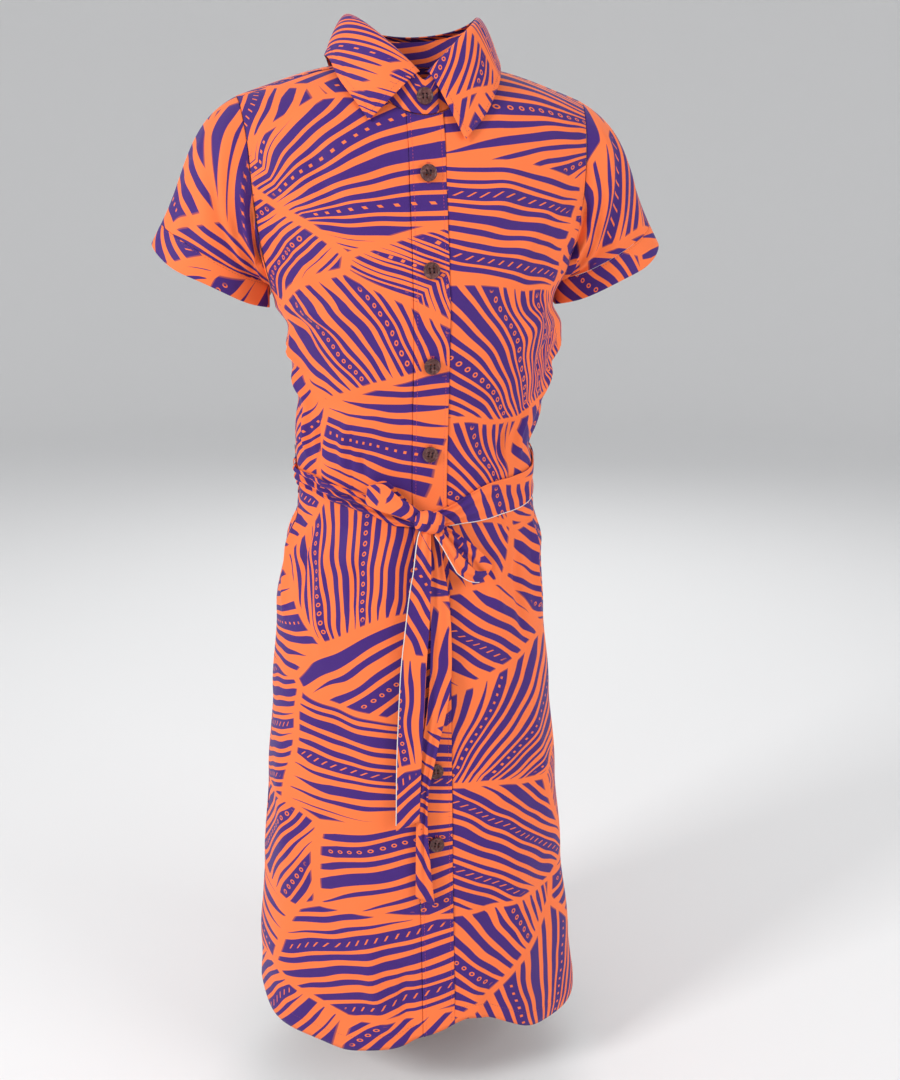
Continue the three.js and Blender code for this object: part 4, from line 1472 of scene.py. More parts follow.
@dataclass
class Sleeves:
    """The two short sleeves with their turned bands, worked out on the wearer's left."""

    form: Form = FORM
    axis: Triple = (0.496, 0, -0.868)
    seam_ring: tuple[float, ...] = (205.2, 5, -181.3, 58.5, 44, 6)
    edge_ring: tuple[float, ...] = (211.4, 5, -203.5, 64.5, 45, 8)
    columns: int = 132
    rows: int = 60
    # lengths of the cloth round the sleeve and down it, which scale its folds and its print
    round_length: float = 330
    down_length: float = 75
    crease_gain: float = 1.7
    crease_ends: Stretch = Stretch(-0.15, 0.3, 0.75, 1.12)
    underarm_drop: Triple = (0.2, 0, -9)
    # round the sleeve from share a to b, down it from t to t, then depth and width in millimetres
    creases: Rows = (
        (0.42, 0.10, 0.13, 0.86, 2.6, 7),
        (0.36, 0.34, 0.10, 1.00, -2.2, 6),
        (0.47, 0.22, 0.24, 0.96, 2.2, 8),
        (0.31, 0.05, 0.06, 0.55, 2.4, 6),
        (0.27, 0.02, 0.03, 0.34, -2.4, 5),
        (0.54, 0.20, 0.66, 0.98, 1.8, 9),
        (0.62, 0.05, 0.90, 0.62, 2.4, 7),
        (0.66, 0.20, 0.88, 0.95, -2.0, 7),
        (0.72, 0.02, 0.96, 0.40, 2.2, 6),
        (0.57, 0.40, 0.78, 1.02, 2.0, 8),
        (0.44, 0.45, 0.36, 1.02, 1.6, 8),
    )

    def loop(self) -> tuple[Array, Array]:
        """Points of the armhole seam, evenly spaced, and the share of the way round of each.

        Returns:
            Points from the underarm up the front and down the back, and their shares, which are
            0.5 on the shoulder.
        """
        form = self.form
        along = np.linspace(-form.underarm, form.underarm, 1601)[:-1]
        front = form.armhole_turn(np.abs(along), "front")
        back = form.armhole_turn(np.abs(along), "back")
        points = form.over_shoulder(np.where(along < 0, front, back), along, creased=False)
        lengths = np.linalg.norm(np.roll(points, -1, 0) - points, axis=1)
        travelled = np.concatenate([[0], np.cumsum(lengths)])
        top = int(np.argmax(points[:, 2]))
        near, far = travelled[top], travelled[-1]
        part = np.where(
            travelled <= near, 0.5 * travelled / near, 0.5 + 0.5 * (travelled - near) / (far - near)
        )[:-1]
        wanted = np.arange(self.columns) / self.columns
        ring = np.stack([np.interp(wanted, part, points[:, k]) for k in range(3)], 1)
        span = 8  # columns each side of the underarm that are rounded into one curve
        first, last = ring[-span].copy(), ring[span].copy()
        for k in range(1 - span, span):
            u = (k + span) / (2 * span)
            ring[k] = lerp(first, last, u) + np.array(self.underarm_drop) * (1 - (2 * u - 1) ** 2)
        return ring, wanted

    def ring(self, ring: tuple[float, ...], share: Array) -> Array:
        """Points of a ring across the sleeve, 0 at the underarm, 0.25 in front, 0.5 on top.

        Args:
            ring: centre in x, y and z, half width, half depth, and droop of the front.
            share: share of the way round.

        Returns:
            The points.
        """
        x, y, z, across, deep, droop = ring
        angle = share * math.tau
        inward = across * np.cos(angle)
        # the edge, though not the seam, dips at the outer front
        outer_front = 6 * bell(share, 0.36, 0.08) * (z < self.seam_ring[2])
        level = z - self.axis[0] * inward - droop * np.sin(angle) - outer_front
        from_underarm = (share + 0.5) % 1 - 0.5
        # drawn in towards the body on both sides of the underarm
        close = 7 * bell(from_underarm, 0.065, 0.05)
        close = close + 3 * bell(from_underarm, -0.05, 0.06)
        return np.stack([x + self.axis[2] * inward - close, y - deep * np.sin(angle), level], -1)

    def leaving(self, share: Array) -> Array:
        """Direction in which the cloth leaves the armhole."""
        top = 0.5 - 0.5 * np.cos(share * math.tau)
        return unit(
            np.stack(
                [np.full_like(share, 0.85), -0.25 * np.sin(share * math.tau), lerp(0.35, -0.42, top)], -1
            )
        )

    def crease_height(self, share: Array, t: Array) -> Array:
        """Height of the sleeve's folds, which run to the underarm.

        Args:
            share: share of the way round.
            t: share of the way down.

        Returns:
            The height at each place.
        """
        height = np.zeros(np.broadcast(share, t).shape)
        for a, ta, b, tb, depth, width in self.creases:
            x = ((share - a + 0.5) % 1 - 0.5) * self.round_length
            y = (t - ta) * self.down_length
            dx = ((b - a + 0.5) % 1 - 0.5) * self.round_length
            dy = (tb - ta) * self.down_length
            length = math.hypot(dx, dy)
            along = (x * dx + y * dy) / length**2
            off = (x * dy - y * dx) / length
            inside = self.crease_ends.at(along)
            height = height + self.crease_gain * depth * inside * bell(off, 0, width)
        height = height + 0.5 * wander(share * self.round_length, t * self.down_length, 1.3)
        under = bell((share + 0.5) % 1, 0.5, math.sqrt(0.006))
        bunch = 1.8 * under * np.sin(t * self.down_length / 5.5 + 1.0) * Stretch(0.05, 0.3, 0.7, 0.95).at(t)
        return (height - under + bunch) * smooth(0, 0.12, t) * (1 - 0.7 * smooth(0.93, 1, t))

    def sleeve(self) -> Grid:
        """Points and cut lengths of the left sleeve, rows from the armhole down.

        Returns:
            The grid's points and its cut lengths.
        """
        start, share = self.loop()
        t = close_shares(self.rows, self.down_length)[:, None]
        leaving = self.leaving(share)
        start = start + leaving * 0.15
        end = self.ring(self.seam_ring, share)
        chord = np.linalg.norm(end - start, axis=1)[None, :, None]
        fullness = lerp(0.6, 1.15, 0.5 - 0.5 * np.cos(share * math.tau))[None, :, None]
        h = t[..., None]
        h2, h3 = h * h, h * h * h
        points = (
            start * (2 * h3 - 3 * h2 + 1)
            + leaving * (h3 - 2 * h2 + h) * chord * fullness
            + end * (3 * h2 - 2 * h3)
            + np.array(self.axis) * (h3 - h2) * chord * fullness
        )
        normals = grid_normals(points, True)
        height = self.crease_height(share[None, :], t)
        height = height - 0.6 * (t < 1e-9) - 0.25 * (t > 1 - 1e-9)
        points = points + normals * height[..., None]
        around = np.broadcast_to(share * self.round_length, points.shape[:2])
        top = 0.5 - 0.5 * np.cos(share * math.tau)
        down = -t * (40 + 70 * top)[None, :] - 60 * (1 - top)[None, :]
        return points, (around, down)

    def cuff(self) -> Grid:
        """Points and cut lengths of the left sleeve's band.

        Returns:
            The grid's points and its cut lengths.
        """
        _, share = self.loop()
        t = shares(12, 0.03, 0.08, 0.16)[:, None]
        start = self.ring(self.seam_ring, share) + np.array(self.axis) * 0.2
        end = self.ring(self.edge_ring, share)
        points = start + (end - start) * t[..., None]
        normals = grid_normals(points, True)
        wave = 0.5 * wander(share * self.round_length, share * 90, 2.1)
        wave = wave + 0.6 * np.sin(share * math.tau * 5 + 1)
        height = wave * smooth(0, 1, t) - 0.35 * (t < 1e-9) - 0.4 * (t > 1 - 1e-9)
        height = height - 0.28 * bell(t, 0.08, 0.03)
        points = points + normals * height[..., None]
        around = np.broadcast_to(share * self.round_length, points.shape[:2])
        return points, (around, -130 - t * 27 + 0 * share)


def mirrored(points: Array) -> Array:
    """The same grid on the other side of the centre, its columns still running to the left."""
    return points[:, ::-1] * np.array([-1, 1, 1])


EDGE_BEHIND = ((95, 85, 6, 11), (135, 66, 62, 8), (180, 0, 88, 5))


@dataclass
class Collar:
    """The stand round the neck and the leaf turned down over it."""

    form: Form = FORM
    overlap: float = math.radians(11.2)
    spread: float = 1.0
    fold_half: float = 66
    # the fold's level at the front, sides and back, and its reach forward and back
    fold_low: float = -20
    fold_high: float = 43
    fold_dip: float = 13
    fold_front: float = 80
    fold_back: float = 46
    edge_right: Table = Table(
        ("turn", "half", "along", "lift"),
        (
            (0, 54, -108, 2.6),
            (40, 77, -67, 5),
            (70, 84, -28, 9),
            *EDGE_BEHIND,
        ),
    )
    edge_left: Table = Table(
        ("turn", "half", "along", "lift"),
        (
            (0, 37, -125, 2.6),
            (28, 60, -99, 3.6),
            (52, 77, -65, 6),
            (74, 84, -24, 9),
            *EDGE_BEHIND,
        ),
    )

    def fold_line(self, turn: Array) -> Array:
        """Points of the fold along the top of the stand.

        Args:
            turn: radians from the centre front.

        Returns:
            The points.
        """
        side, cosine = np.abs(np.sin(turn)), np.cos(turn)
        front = lerp(self.fold_low, self.fold_high, side)
        z = np.where(cosine > 0, front, self.fold_high - self.fold_dip * np.maximum(-cosine, 0) ** 1.3)
        y = self.form.shoulder_y - np.where(cosine > 0, self.fold_front, self.fold_back) * cosine
        return np.stack([self.fold_half * np.sin(turn), y, z], -1)

    def away(self, turn: Array) -> Array:
        """Level directions out from the neck."""
        return np.stack([np.sin(turn), -np.cos(turn), np.zeros_like(turn)], -1)

    def neck_point(self, turn: Array) -> Array:
        """Points of the neck seam all the way round.

        Args:
            turn: radians from the centre front.

        Returns:
            The points.
        """
        folded = np.arccos(np.cos(turn))
        x, along = self.form.neck_seam(folded)
        points = self.form.over_shoulder(self.form.turn_of(x, np.abs(along)), along, creased=False)
        flip = np.where(np.sin(turn) < 0, -1, 1)
        return points * np.stack([flip, np.ones_like(flip), np.ones_like(flip)], -1)

    def stand(self) -> Grid:
        """Points and cut lengths of the stand.

        Returns:
            The grid's points and its cut lengths.
        """
        u = shares(150, 0.002, 0.006)
        turn = lerp(-self.overlap, math.tau + self.overlap, u)
        t = shares(14, 0.02, 0.06)[:, None, None]
        base = self.neck_point(turn) + np.array([0, 0, 0.45])
        top = self.fold_line(turn) + np.array([0, 0, -1.0])
        points = top + (base - top) * t
        bulge = 0.8 * np.sin(t * math.pi) + 0.25 * wander(u * 420, u * 130, 0.8)[None, :, None] * t
        lift = lerp(-self.spread, self.spread, u)[None, :, None] + bulge
        points = points + self.away(turn) * lift
        return tucked(points, "tblr", 0.35), cut_lengths(points)

    def edge(self, degrees: Array, is_left: bool) -> Array:
        """Points of the leaf's outer edge on one side.

        Args:
            degrees: turn from the centre front.
            is_left: whether it is the wearer's left.

        Returns:
            The points.
        """
        table = self.edge_left if is_left else self.edge_right
        half, along = table.at(degrees, "half"), table.at(degrees, "along")
        points = self.form.over_shoulder(
            self.form.turn_of(half, np.abs(along)), along, table.at(degrees, "lift"), creased=False
        )
        return points if is_left else points * np.array([-1, 1, 1])

    def leaf(self) -> Grid:
        """Points and cut lengths of the leaf, from the wearer's left tip round to the right.

        Returns:
            The grid's points and its cut lengths.
        """
        part = shares(92, 0.003, 0.011, 0.03)
        sides = []
        for is_left in (True, False):
            turn = lerp(math.radians(3), math.pi, part) * (1 if is_left else -1)
            fold, away = self.fold_line(turn), self.away(turn)
            start = fold - away * 1.5 + np.array([0, 0, 3.8])
            side = np.abs(np.sin(turn))[:, None] ** 4
            middle = fold + away * (9.5 - 3.5 * side) + np.array([0, 0, 7.5])
            end = self.edge(180 * part, is_left)
            t = shares(40, 0.006, 0.02)[:, None, None]
            curve = start * (1 - t) ** 2 + middle * 2 * t * (1 - t) + end * t * t
            sides.append(curve)
        points = np.concatenate([sides[0], sides[1][:, ::-1][:, 1:]], 1)
        normals = grid_normals(points, False)
        rows = shares(40, 0.006, 0.02)[:, None]
        columns = np.linspace(0, 1, points.shape[1])[None, :]
        wave = 0.55 * wander(columns * 480, rows * 60, 1.1) * smooth(0.15, 0.7, rows)
        edge = 0.3 * bell(rows, 0.985, 0.02)
        groove = -0.3 * bell(rows, 0.905, 0.012)
        points = points + normals * (wave + edge + groove)[..., None]
        return tucked(points, "tblr", 0.35), cut_lengths(points)


@dataclass
class Belt:
    """One strip tied in a bow: the run round the waist, the knot, two loops and two tails."""

    form: Form = FORM
    height: float = 36
    lift: float = 2.5
    over_button: float = 4.4
    # depth, place and width of the sag on the wearer's left
    sag: Triple = (7, 102, 26)
    knot_at: Triple = (-3, -445, 16.6)
    knot_half: Triple = (15.6, 9.0, 12.4)
    columns: tuple[str, ...] = ("step", "x", "level", "lift", "half")
    bow_right: Rows = (
        (0, -10, -442, 11, 5),
        (1, -18, -438, 10, 7),
        (2, -31, -429, 8.5, 12),
        (3, -46, -419, 7.4, 17),
        (4, -61, -417, 12.4, 11),
        (5, -47, -418.5, 18.6, 16.5),
        (6, -32, -428, 20, 11.5),
        (7, -19, -437.5, 17.6, 7),
        (8, -11, -442, 15, 5),
    )
    bow_left: Rows = (
        (0, 1, -449, 12, 4),
        (1, 9, -455.5, 11, 5.5),
        (2, 25, -470, 9.5, 6.5),
        (3, 43, -486, 9, 7.5),
        (4, 52, -501, 14, 9),
        (5, 36, -499.5, 19.5, 7),
        (6, 19, -483, 20.5, 5.5),
        (7, 8, -465, 19, 5),
        (8, 1, -453, 16, 4),
    )
    tail_right: Rows = (
        (0, -6, -450, 17, 5),
        (1, -9.5, -470, 17, 7),
        (2, -15.5, -530, 13, 11),
        (3, -22.5, -600, 12.5, 12.5),
        (4, -28, -690, 12, 12.5),
        (5, -31, -767, 12, 12),
    )
    tail_left: Rows = (
        (0, -3, -450, 11.5, 5),
        (1, 0, -470, 10.5, 7),
        (2, 5.5, -530, 8.2, 10),
        (3, 5, -610, 8.2, 11),
        (4, -6, -680, 8.2, 8.5),
        (5, -15, -735, 8.6, 6),
        (6, -16, -790, 8.6, 6.5),
        (7, -14, -856, 8.2, 10),
    )

    def waist(self) -> Grid:
        """Points and cut lengths of the run round the waist, narrowed and folded at the knot.

        Returns:
            The grid's points and its cut lengths.
        """
        form = self.form
        turn = np.linspace(0, math.tau, 361)[:-1][None, :]
        t = shares(30, 0.02, 0.05)[:, None]
        middle = form.belt_level(turn)
        x = form.place(turn, form.along_of(middle), 0, creased=False)[..., 0]
        degrees = (np.degrees(turn) + 180) % 360 - 180
        is_front = np.abs(degrees) < 90
        near = np.where(is_front, 1 - smooth(8, 66, np.abs(x)), 0)
        # pushed together on the wearer's right, flat on the left and behind
        bunched = np.where(is_front & (x < 0), smooth(14, 60, -x), 0)
        bunched = np.where((x < 0) & ~is_front, 1 - smooth(92, 140, np.abs(degrees)), bunched)
        sag, sag_at, sag_width = self.sag
        sagging = np.where(is_front & (x > 0), bell(x, sag_at, sag_width), 0)
        half = self.height / 2 * (1 - 0.52 * np.maximum(near, 0.93 * bunched))
        level = middle - sag * sagging + lerp(half, -half, t)
        soft = 0.3 * wander(np.degrees(turn) * 2.2, t * 36, 0.6)
        at_carrier = bell(np.abs(degrees), 90, 7)
        deep = (0.35 + 1.3 * near + 1.9 * bunched) * (1 - 0.75 * at_carrier)
        folds = deep * np.sin(t * 15 + 2.6 * np.sin(turn * 2 + 1.1 * t) + 1.2)
        folds = folds * smooth(0, 0.1, t) * (1 - smooth(0.9, 1, t)) + 1.1 * bunched * (1 - at_carrier)
        rim = -0.4 * ((t < 1e-9) | (t > 1 - 1e-9))
        groove = -0.2 * bell(np.abs(t - 0.5), 0.42, 0.02)
        over = self.over_button * np.where(is_front, 1 - smooth(14, 38, np.abs(x)), 0)
        lift = self.lift + over + soft + folds + rim + groove
        points = form.place(turn, form.along_of(level), lift, False)
        around = np.broadcast_to(np.degrees(turn) * 2.3, points.shape[:2])
        return points, (around, -t * self.height + 0 * turn)

    def ribbon(
        self, rows: Rows, across: tuple[float, float], count: int, fold: float, slant: float
    ) -> Grid:
        """Points and cut lengths of a loop or a tail.

        Args:
            rows: stations of step, x, level, lift and half width.
            across: direction of the width, in x and level.
            count: number of rows.
            fold: height of the lengthwise fold at the start.
            slant: how far one corner of the end hangs below the other.

        Returns:
            The grid's points and its cut lengths.
        """
        table = Table(self.columns, rows)
        s = np.linspace(0, len(rows) - 1, count)[:, None]
        w = np.array([-1, -0.97, -0.9, -0.8, -0.6, -0.4, -0.2, 0, 0.2, 0.4, 0.6, 0.8, 0.9, 0.97, 1])[None, :]
        half = table.at(s, "half")
        end = smooth(len(rows) - 2, len(rows) - 1, s) * slant
        x = table.at(s, "x") + w * half * across[0]
        level = table.at(s, "level") + w * half * across[1] + end * w
        gathered = 1 - smooth(6, 13, half)
        ridge = fold * (0.25 + gathered) * np.sin(w * 5.2 + 0.6 * s)
        bend = 0.6 * np.sin(s * 1.9 + w * 1.4) * smooth(0, 1.5, s)
        rim = -0.2 * (np.abs(w) > 0.99)
        lift = table.at(s, "lift") + ridge + bend * fold + rim
        points = self.form.over_front(x, level, lift)
        return points, cut_lengths(points)

    def knot(self) -> Array:
        """Points of the knot: a rounded wrap with folds running round it, closed at both ends.

        Returns:
            The points, rows from one end to the other.
        """
        centre = self.form.over_front(np.array(self.knot_at[0]), self.knot_at[1], self.knot_at[2])
        v = np.linspace(0, math.pi, 34)[:, None]
        u = np.linspace(0, math.tau, 65)[:-1][None, :]
        a, b, c = self.knot_half
        tilt = math.radians(-8)
        swell = 1 + 0.05 * np.sin(u * 2 + 1) * np.sin(v)
        fold = 1 + (0.035 * np.sin(v * 11 + 1.2 * np.sin(u)) + 0.02 * np.sin(v * 23 + u)) * np.sin(v)
        # the squarer outline of a flat strip pulled tight
        round_v = np.sign(np.cos(v)) * np.abs(np.cos(v)) ** 0.8
        x = a * round_v * fold
        y = -b * np.sin(v) ** 0.75 * np.cos(u) * swell * fold
        z = c * np.sin(v) ** 0.75 * np.sin(u) * swell * fold
        # the slanting groove between the two wraps
        groove = bell(x - 0.45 * z, -1.5, 1.7)
        y, z = y * (1 - 0.26 * groove), z * (1 - 0.13 * groove)
        right = x * math.cos(tilt) - z * math.sin(tilt)
        up = x * math.sin(tilt) + z * math.cos(tilt)
        return np.stack([right, y, up], -1) + centre

    def carrier(self, side: int) -> Grid:
        """Points and cut lengths of the carrier over the belt at a side seam.

        Args:
            side: 1 for the wearer's left, -1 for the right.

        Returns:
            The grid's points and its cut lengths.
        """
        # the belt is narrow where it is pushed together, on the wearer's right
        edge = 19.5 if side > 0 else 10.5
        rows = ((-26, 1.2), (-edge - 3, 1.7), (-edge, 4.4), (0, 4.7), (edge, 4.4), (edge + 3, 1.7), (26, 1.2))
        table = Table(("rise", "lift"), rows)
        rise = np.linspace(26, -26, 40)[:, None]
        w = np.array([-1, -0.9, -0.6, 0, 0.6, 0.9, 1])[None, :]
        lift = table.at(rise, "lift") - 0.3 * (np.abs(w) > 0.99) + 0 * rise
        turn = side * math.pi / 2 + w * 0.022 * (1 + 0.03 * np.sin(rise / 7))
        points = self.form.place(turn, self.form.along_of(self.form.belt_side + rise), lift, creased=False)
        return points, cut_lengths(points)


# ---- Buttons ----


@dataclass
class Buttons:
    """Ten four-hole buttons: one on the collar stand and nine down the band."""

    form: Form = FORM
    radius: float = 8
    height: float = 2.6
    hole_radius: float = 1.0
    hole_spread: float = 1.9
    above_waist: tuple[float, float, int] = (-106, -377, 4)
    below_waist: tuple[float, float, int] = (-377, -795, 5)
    seat: float = 1.15
    sunk: float = 0.55
    slot_half: float = 9.6
    slot_step: float = 0.6
    bar_half: float = 1.05

    def levels(self) -> list[float]:
        """Levels of the nine buttons on the band, from the top down."""
        first, waist, upper = self.above_waist
        _, last, lower = self.below_waist
        return [*np.linspace(first, waist, upper), *np.linspace(waist, last, lower + 1)[1:]]

    def model(self, wardrobe: Wardrobe) -> bpy.types.Object:
        """Models one button with its thread at the origin, facing up.

        Args:
            wardrobe: the shared materials.

        Returns:
            The button's object.
        """
        r, h = self.radius * MM, self.height * MM
        bpy.ops.object.select_all(action="DESELECT")
        bpy.ops.mesh.primitive_cylinder_add(vertices=48, radius=r, depth=h, location=(0, 0, h / 2))
        button = bpy.context.object
        for inset, drop in ((0.9 * MM, 0.0), (0.7 * MM, self.sunk * MM), (1.6 * MM, 0.1 * MM)):
            bpy.ops.object.mode_set(mode="EDIT")
            bpy.ops.mesh.select_all(action="DESELECT")
            bpy.ops.object.mode_set(mode="OBJECT")
            top = max(button.data.polygons, key=lambda p: (p.normal.z > 0.9, len(p.vertices)))
            top.select = True
            bpy.ops.object.mode_set(mode="EDIT")
            bpy.ops.mesh.inset(thickness=inset)
            bpy.ops.transform.translate(value=(0, 0, -drop))
            bpy.ops.object.mode_set(mode="OBJECT")
        bevel = button.modifiers.new("soft edges", "BEVEL")
        bevel.width, bevel.segments, bevel.limit_method = 0.32 * MM, 3, "ANGLE"
        bpy.ops.object.modifier_apply(modifier=bevel.name)
        spread = self.hole_spread * MM
        for x, y in ((spread, spread), (-spread, spread), (spread, -spread), (-spread, -spread)):
            bpy.ops.mesh.primitive_cylinder_add(
                vertices=20, radius=self.hole_radius * MM, depth=4 * h, location=(x, y, h / 2)
            )
            drill = bpy.context.object
            cut = button.modifiers.new("hole", "BOOLEAN")
            cut.object, cut.operation = drill, "DIFFERENCE"
            bpy.context.view_layer.objects.active = button
            bpy.ops.object.modifier_apply(modifier=cut.name)
            bpy.data.objects.remove(drill)
        button.data.materials.append(wardrobe.shell)
        self.sew(button, wardrobe)
        return button

    def sew(self, button: bpy.types.Object, wardrobe: Wardrobe) -> None:
        """Adds bars of thread between the holes and joins them to the button.

        Args:
            button: the button's object.
            wardrobe: the shared materials.
        """
        top = (self.height - self.sunk) * MM
        bars = []
        for x in (-self.hole_spread, self.hole_spread):
            for k in (-0.3, 0.3):
                bpy.ops.mesh.primitive_uv_sphere_add(segments=10, ring_count=8, radius=1 * MM)
                bar = bpy.context.object
                bar.scale = (0.24, self.hole_spread + 0.3, 0.5 - 0.2 * abs(k))
                bar.location = ((x + k) * MM, 0, top - 0.15 * MM)
                bpy.ops.object.transform_apply(location=True, rotation=True, scale=True)
                # the thread's near-black colour is partly painted shade for the dark button holes
                bar.data.materials.append(wardrobe.button_thread_and_hole_shade)
                bars.append(bar)
        bpy.ops.object.select_all(action="DESELECT")
        for bar in bars:
            bar.select_set(True)
        button.select_set(True)
        bpy.context.view_layer.objects.active = button
        bpy.ops.object.join()
        bpy.ops.object.transform_apply(location=True, rotation=True, scale=True)
        bpy.ops.object.shade_smooth_by_angle(angle=math.radians(38))

    def seats(self, collar: Collar, body: Body) -> list[tuple[Array, Array]]:
        """Place and direction of each button, the stand's first.

        Args:
            collar: the collar, for its stand.
            body: the body, for its band.

        Returns:
            A place and an outward direction for each button.
        """
        low = collar.neck_point(np.array([0.0]))[0]
        stand = (collar.fold_line(np.array([0.0]))[0] + low) / 2
        out = unit(np.array([0, -1, 0.18]))
        seats = [(stand + out * (collar.spread + 1.9), out)]
        for level in self.levels():
            here = self.form.over_front(np.array(0.0), level, body.band_lift + self.seat)
            under = self.form.over_front(np.array(0.0), level, 0)
            seats.append((here, unit(here - under)))
        return seats

    def holes(self, wardrobe: Wardrobe, body: Body) -> None:
        """Works the upright buttonholes, which show just above and below each button.

        Args:
            wardrobe: the shared materials.
            body: the body, for its band.
        """
        rows = Stitching("stitch_buttonholes", "band_right", 1.5, 0.2, 0.55, 0.34)
        for level in self.levels():
            for rise in np.arange(-self.slot_half, self.slot_half + 0.1, self.slot_step):
                is_end = abs(rise) > self.slot_half - 0.4
                for middle in (-1.2, 0.0, 1.2) if is_end else (-1.0, 1.0):
                    x = np.array([middle - self.bar_half, middle + self.bar_half])
                    levels = np.full(2, level + rise)
                    points = self.form.over_front(x, levels, body.band_lift)
                    out = points - self.form.over_front(x, levels, body.band_lift - 1)
                    rows.run(points, out)
        rows.build(wardrobe.coral)

    def build(self, wardrobe: Wardrobe, collar: Collar, body: Body) -> None:
        """Copies the modelled button to every place.

        Args:
            wardrobe: the shared materials.
            collar: the collar, for its stand.
            body: the body, for its band.
        """
        self.holes(wardrobe, body)
        master = self.model(wardrobe)
        for i, (place, out) in enumerate(self.seats(collar, body), 1):
            turned = Vector(out).to_track_quat("Z", "Y").to_matrix().to_4x4()
            spin = Matrix.Rotation(math.radians((i * 37) % 23 - 11), 4, "Z")
            mesh = master.data.copy()
            mesh.name = f"shell_button_{i:02d}"
            mesh.transform(Matrix.Translation(Vector(place) * MM) @ turned @ spin)
            piece = placed(mesh.name, mesh)
            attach(piece, "root")
            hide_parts(f"button_{i:02d}")
        bpy.data.objects.remove(master)
        LOG.info("buttons: %d", len(self.levels()) + 1)


# ---- Studio ----


@dataclass
class Studio:
    """Pale floor, soft light and the camera in front of the dress."""

    floor_level: float = -1.12
    camera_place: Triple = (-0.1866, -1.2766, -0.148)
    look: Triple = (0.1677, 0.9514, -0.2588)
    lens: float = 40
    sensor: float = 36
    aim: Triple = (0, 0, -0.5)
    sky: tuple[float, ...] = (0.93, 0.94, 0.96, 1)
    sky_strength: float = 0.66

    def light(self, name: str, place: Triple, size: float, power: float) -> None:
        """Adds a square soft light that faces the dress.

        Args:
            name: the light's name.
            place: where it stands, in metres.
            size: length of its side.
            power: its strength in watts.
        """
        lamp = bpy.data.lights.new(name, "AREA")
        lamp.size, lamp.energy = size, power
        stand = placed(name, lamp)
        stand.location = place
        stand.rotation_euler = (Vector(self.aim) - Vector(place)).to_track_quat("-Z", "Y").to_euler()

    def backdrop(self) -> None:
        """Makes a round floor that sweeps up into a pale wall all round."""
        bend = [math.radians(a) for a in range(0, 91, 6)]
        profile = [(2.0, 0.0), (4.0, 0.0)]
        profile += [(4.5 + 2 * math.sin(a), 2 - 2 * math.cos(a)) for a in bend] + [(6.5, 4.5)]
        count = 96
        corners, faces = [(0.0, 0.0, self.floor_level)], []
        for radius, rise in profile:
            for k in range(count):
                angle = math.tau * k / count
                corners.append((radius * math.cos(angle), radius * math.sin(angle), self.floor_level + rise))
        for k in range(count):
            n = (k + 1) % count
            faces.append((0, 1 + k, 1 + n))
            for i in range(len(profile) - 1):
                a, b = 1 + i * count, 1 + (i + 1) * count
                faces.append((a + k, b + k, b + n, a + n))
        mesh = bpy.data.meshes.new("studio_floor")
        mesh.from_pydata(corners, [], faces)
        mesh.shade_smooth()
        mesh.materials.append(Plain().material())
        floor = placed("studio_floor", mesh)

    def build(self) -> None:
        """Sets the whole studio up."""
        self.backdrop()
        self.light("key", (-2.5, -1.3, 0.9), 0.7, 64)
        self.light("fill", (1.9, -1.7, 0.3), 1.4, 26)
        self.light("back", (0.6, 2.2, 1.0), 1.6, 22)
        world = bpy.data.worlds.new("studio")
        world.use_nodes = True
        sky = world.node_tree.nodes["Background"]
        sky.inputs["Color"].default_value = self.sky
        sky.inputs["Strength"].default_value = self.sky_strength
        bpy.context.scene.world = world
        lens = bpy.data.cameras.new("camera")
        lens.sensor_fit, lens.sensor_height, lens.lens = "VERTICAL", self.sensor, self.lens
        camera = placed("camera", lens)
        camera.location = self.camera_place
        camera.rotation_euler = Vector(self.look).to_track_quat("-Z", "Y").to_euler()
        bpy.context.scene.camera = camera
        bpy.context.scene.view_settings.view_transform = "Standard"


# ---- The dress ----

FRONT_PRINT = {"right": (0.31, 0.12), "left": (1.37, 0.57)}  # where each front's cut lies in the print


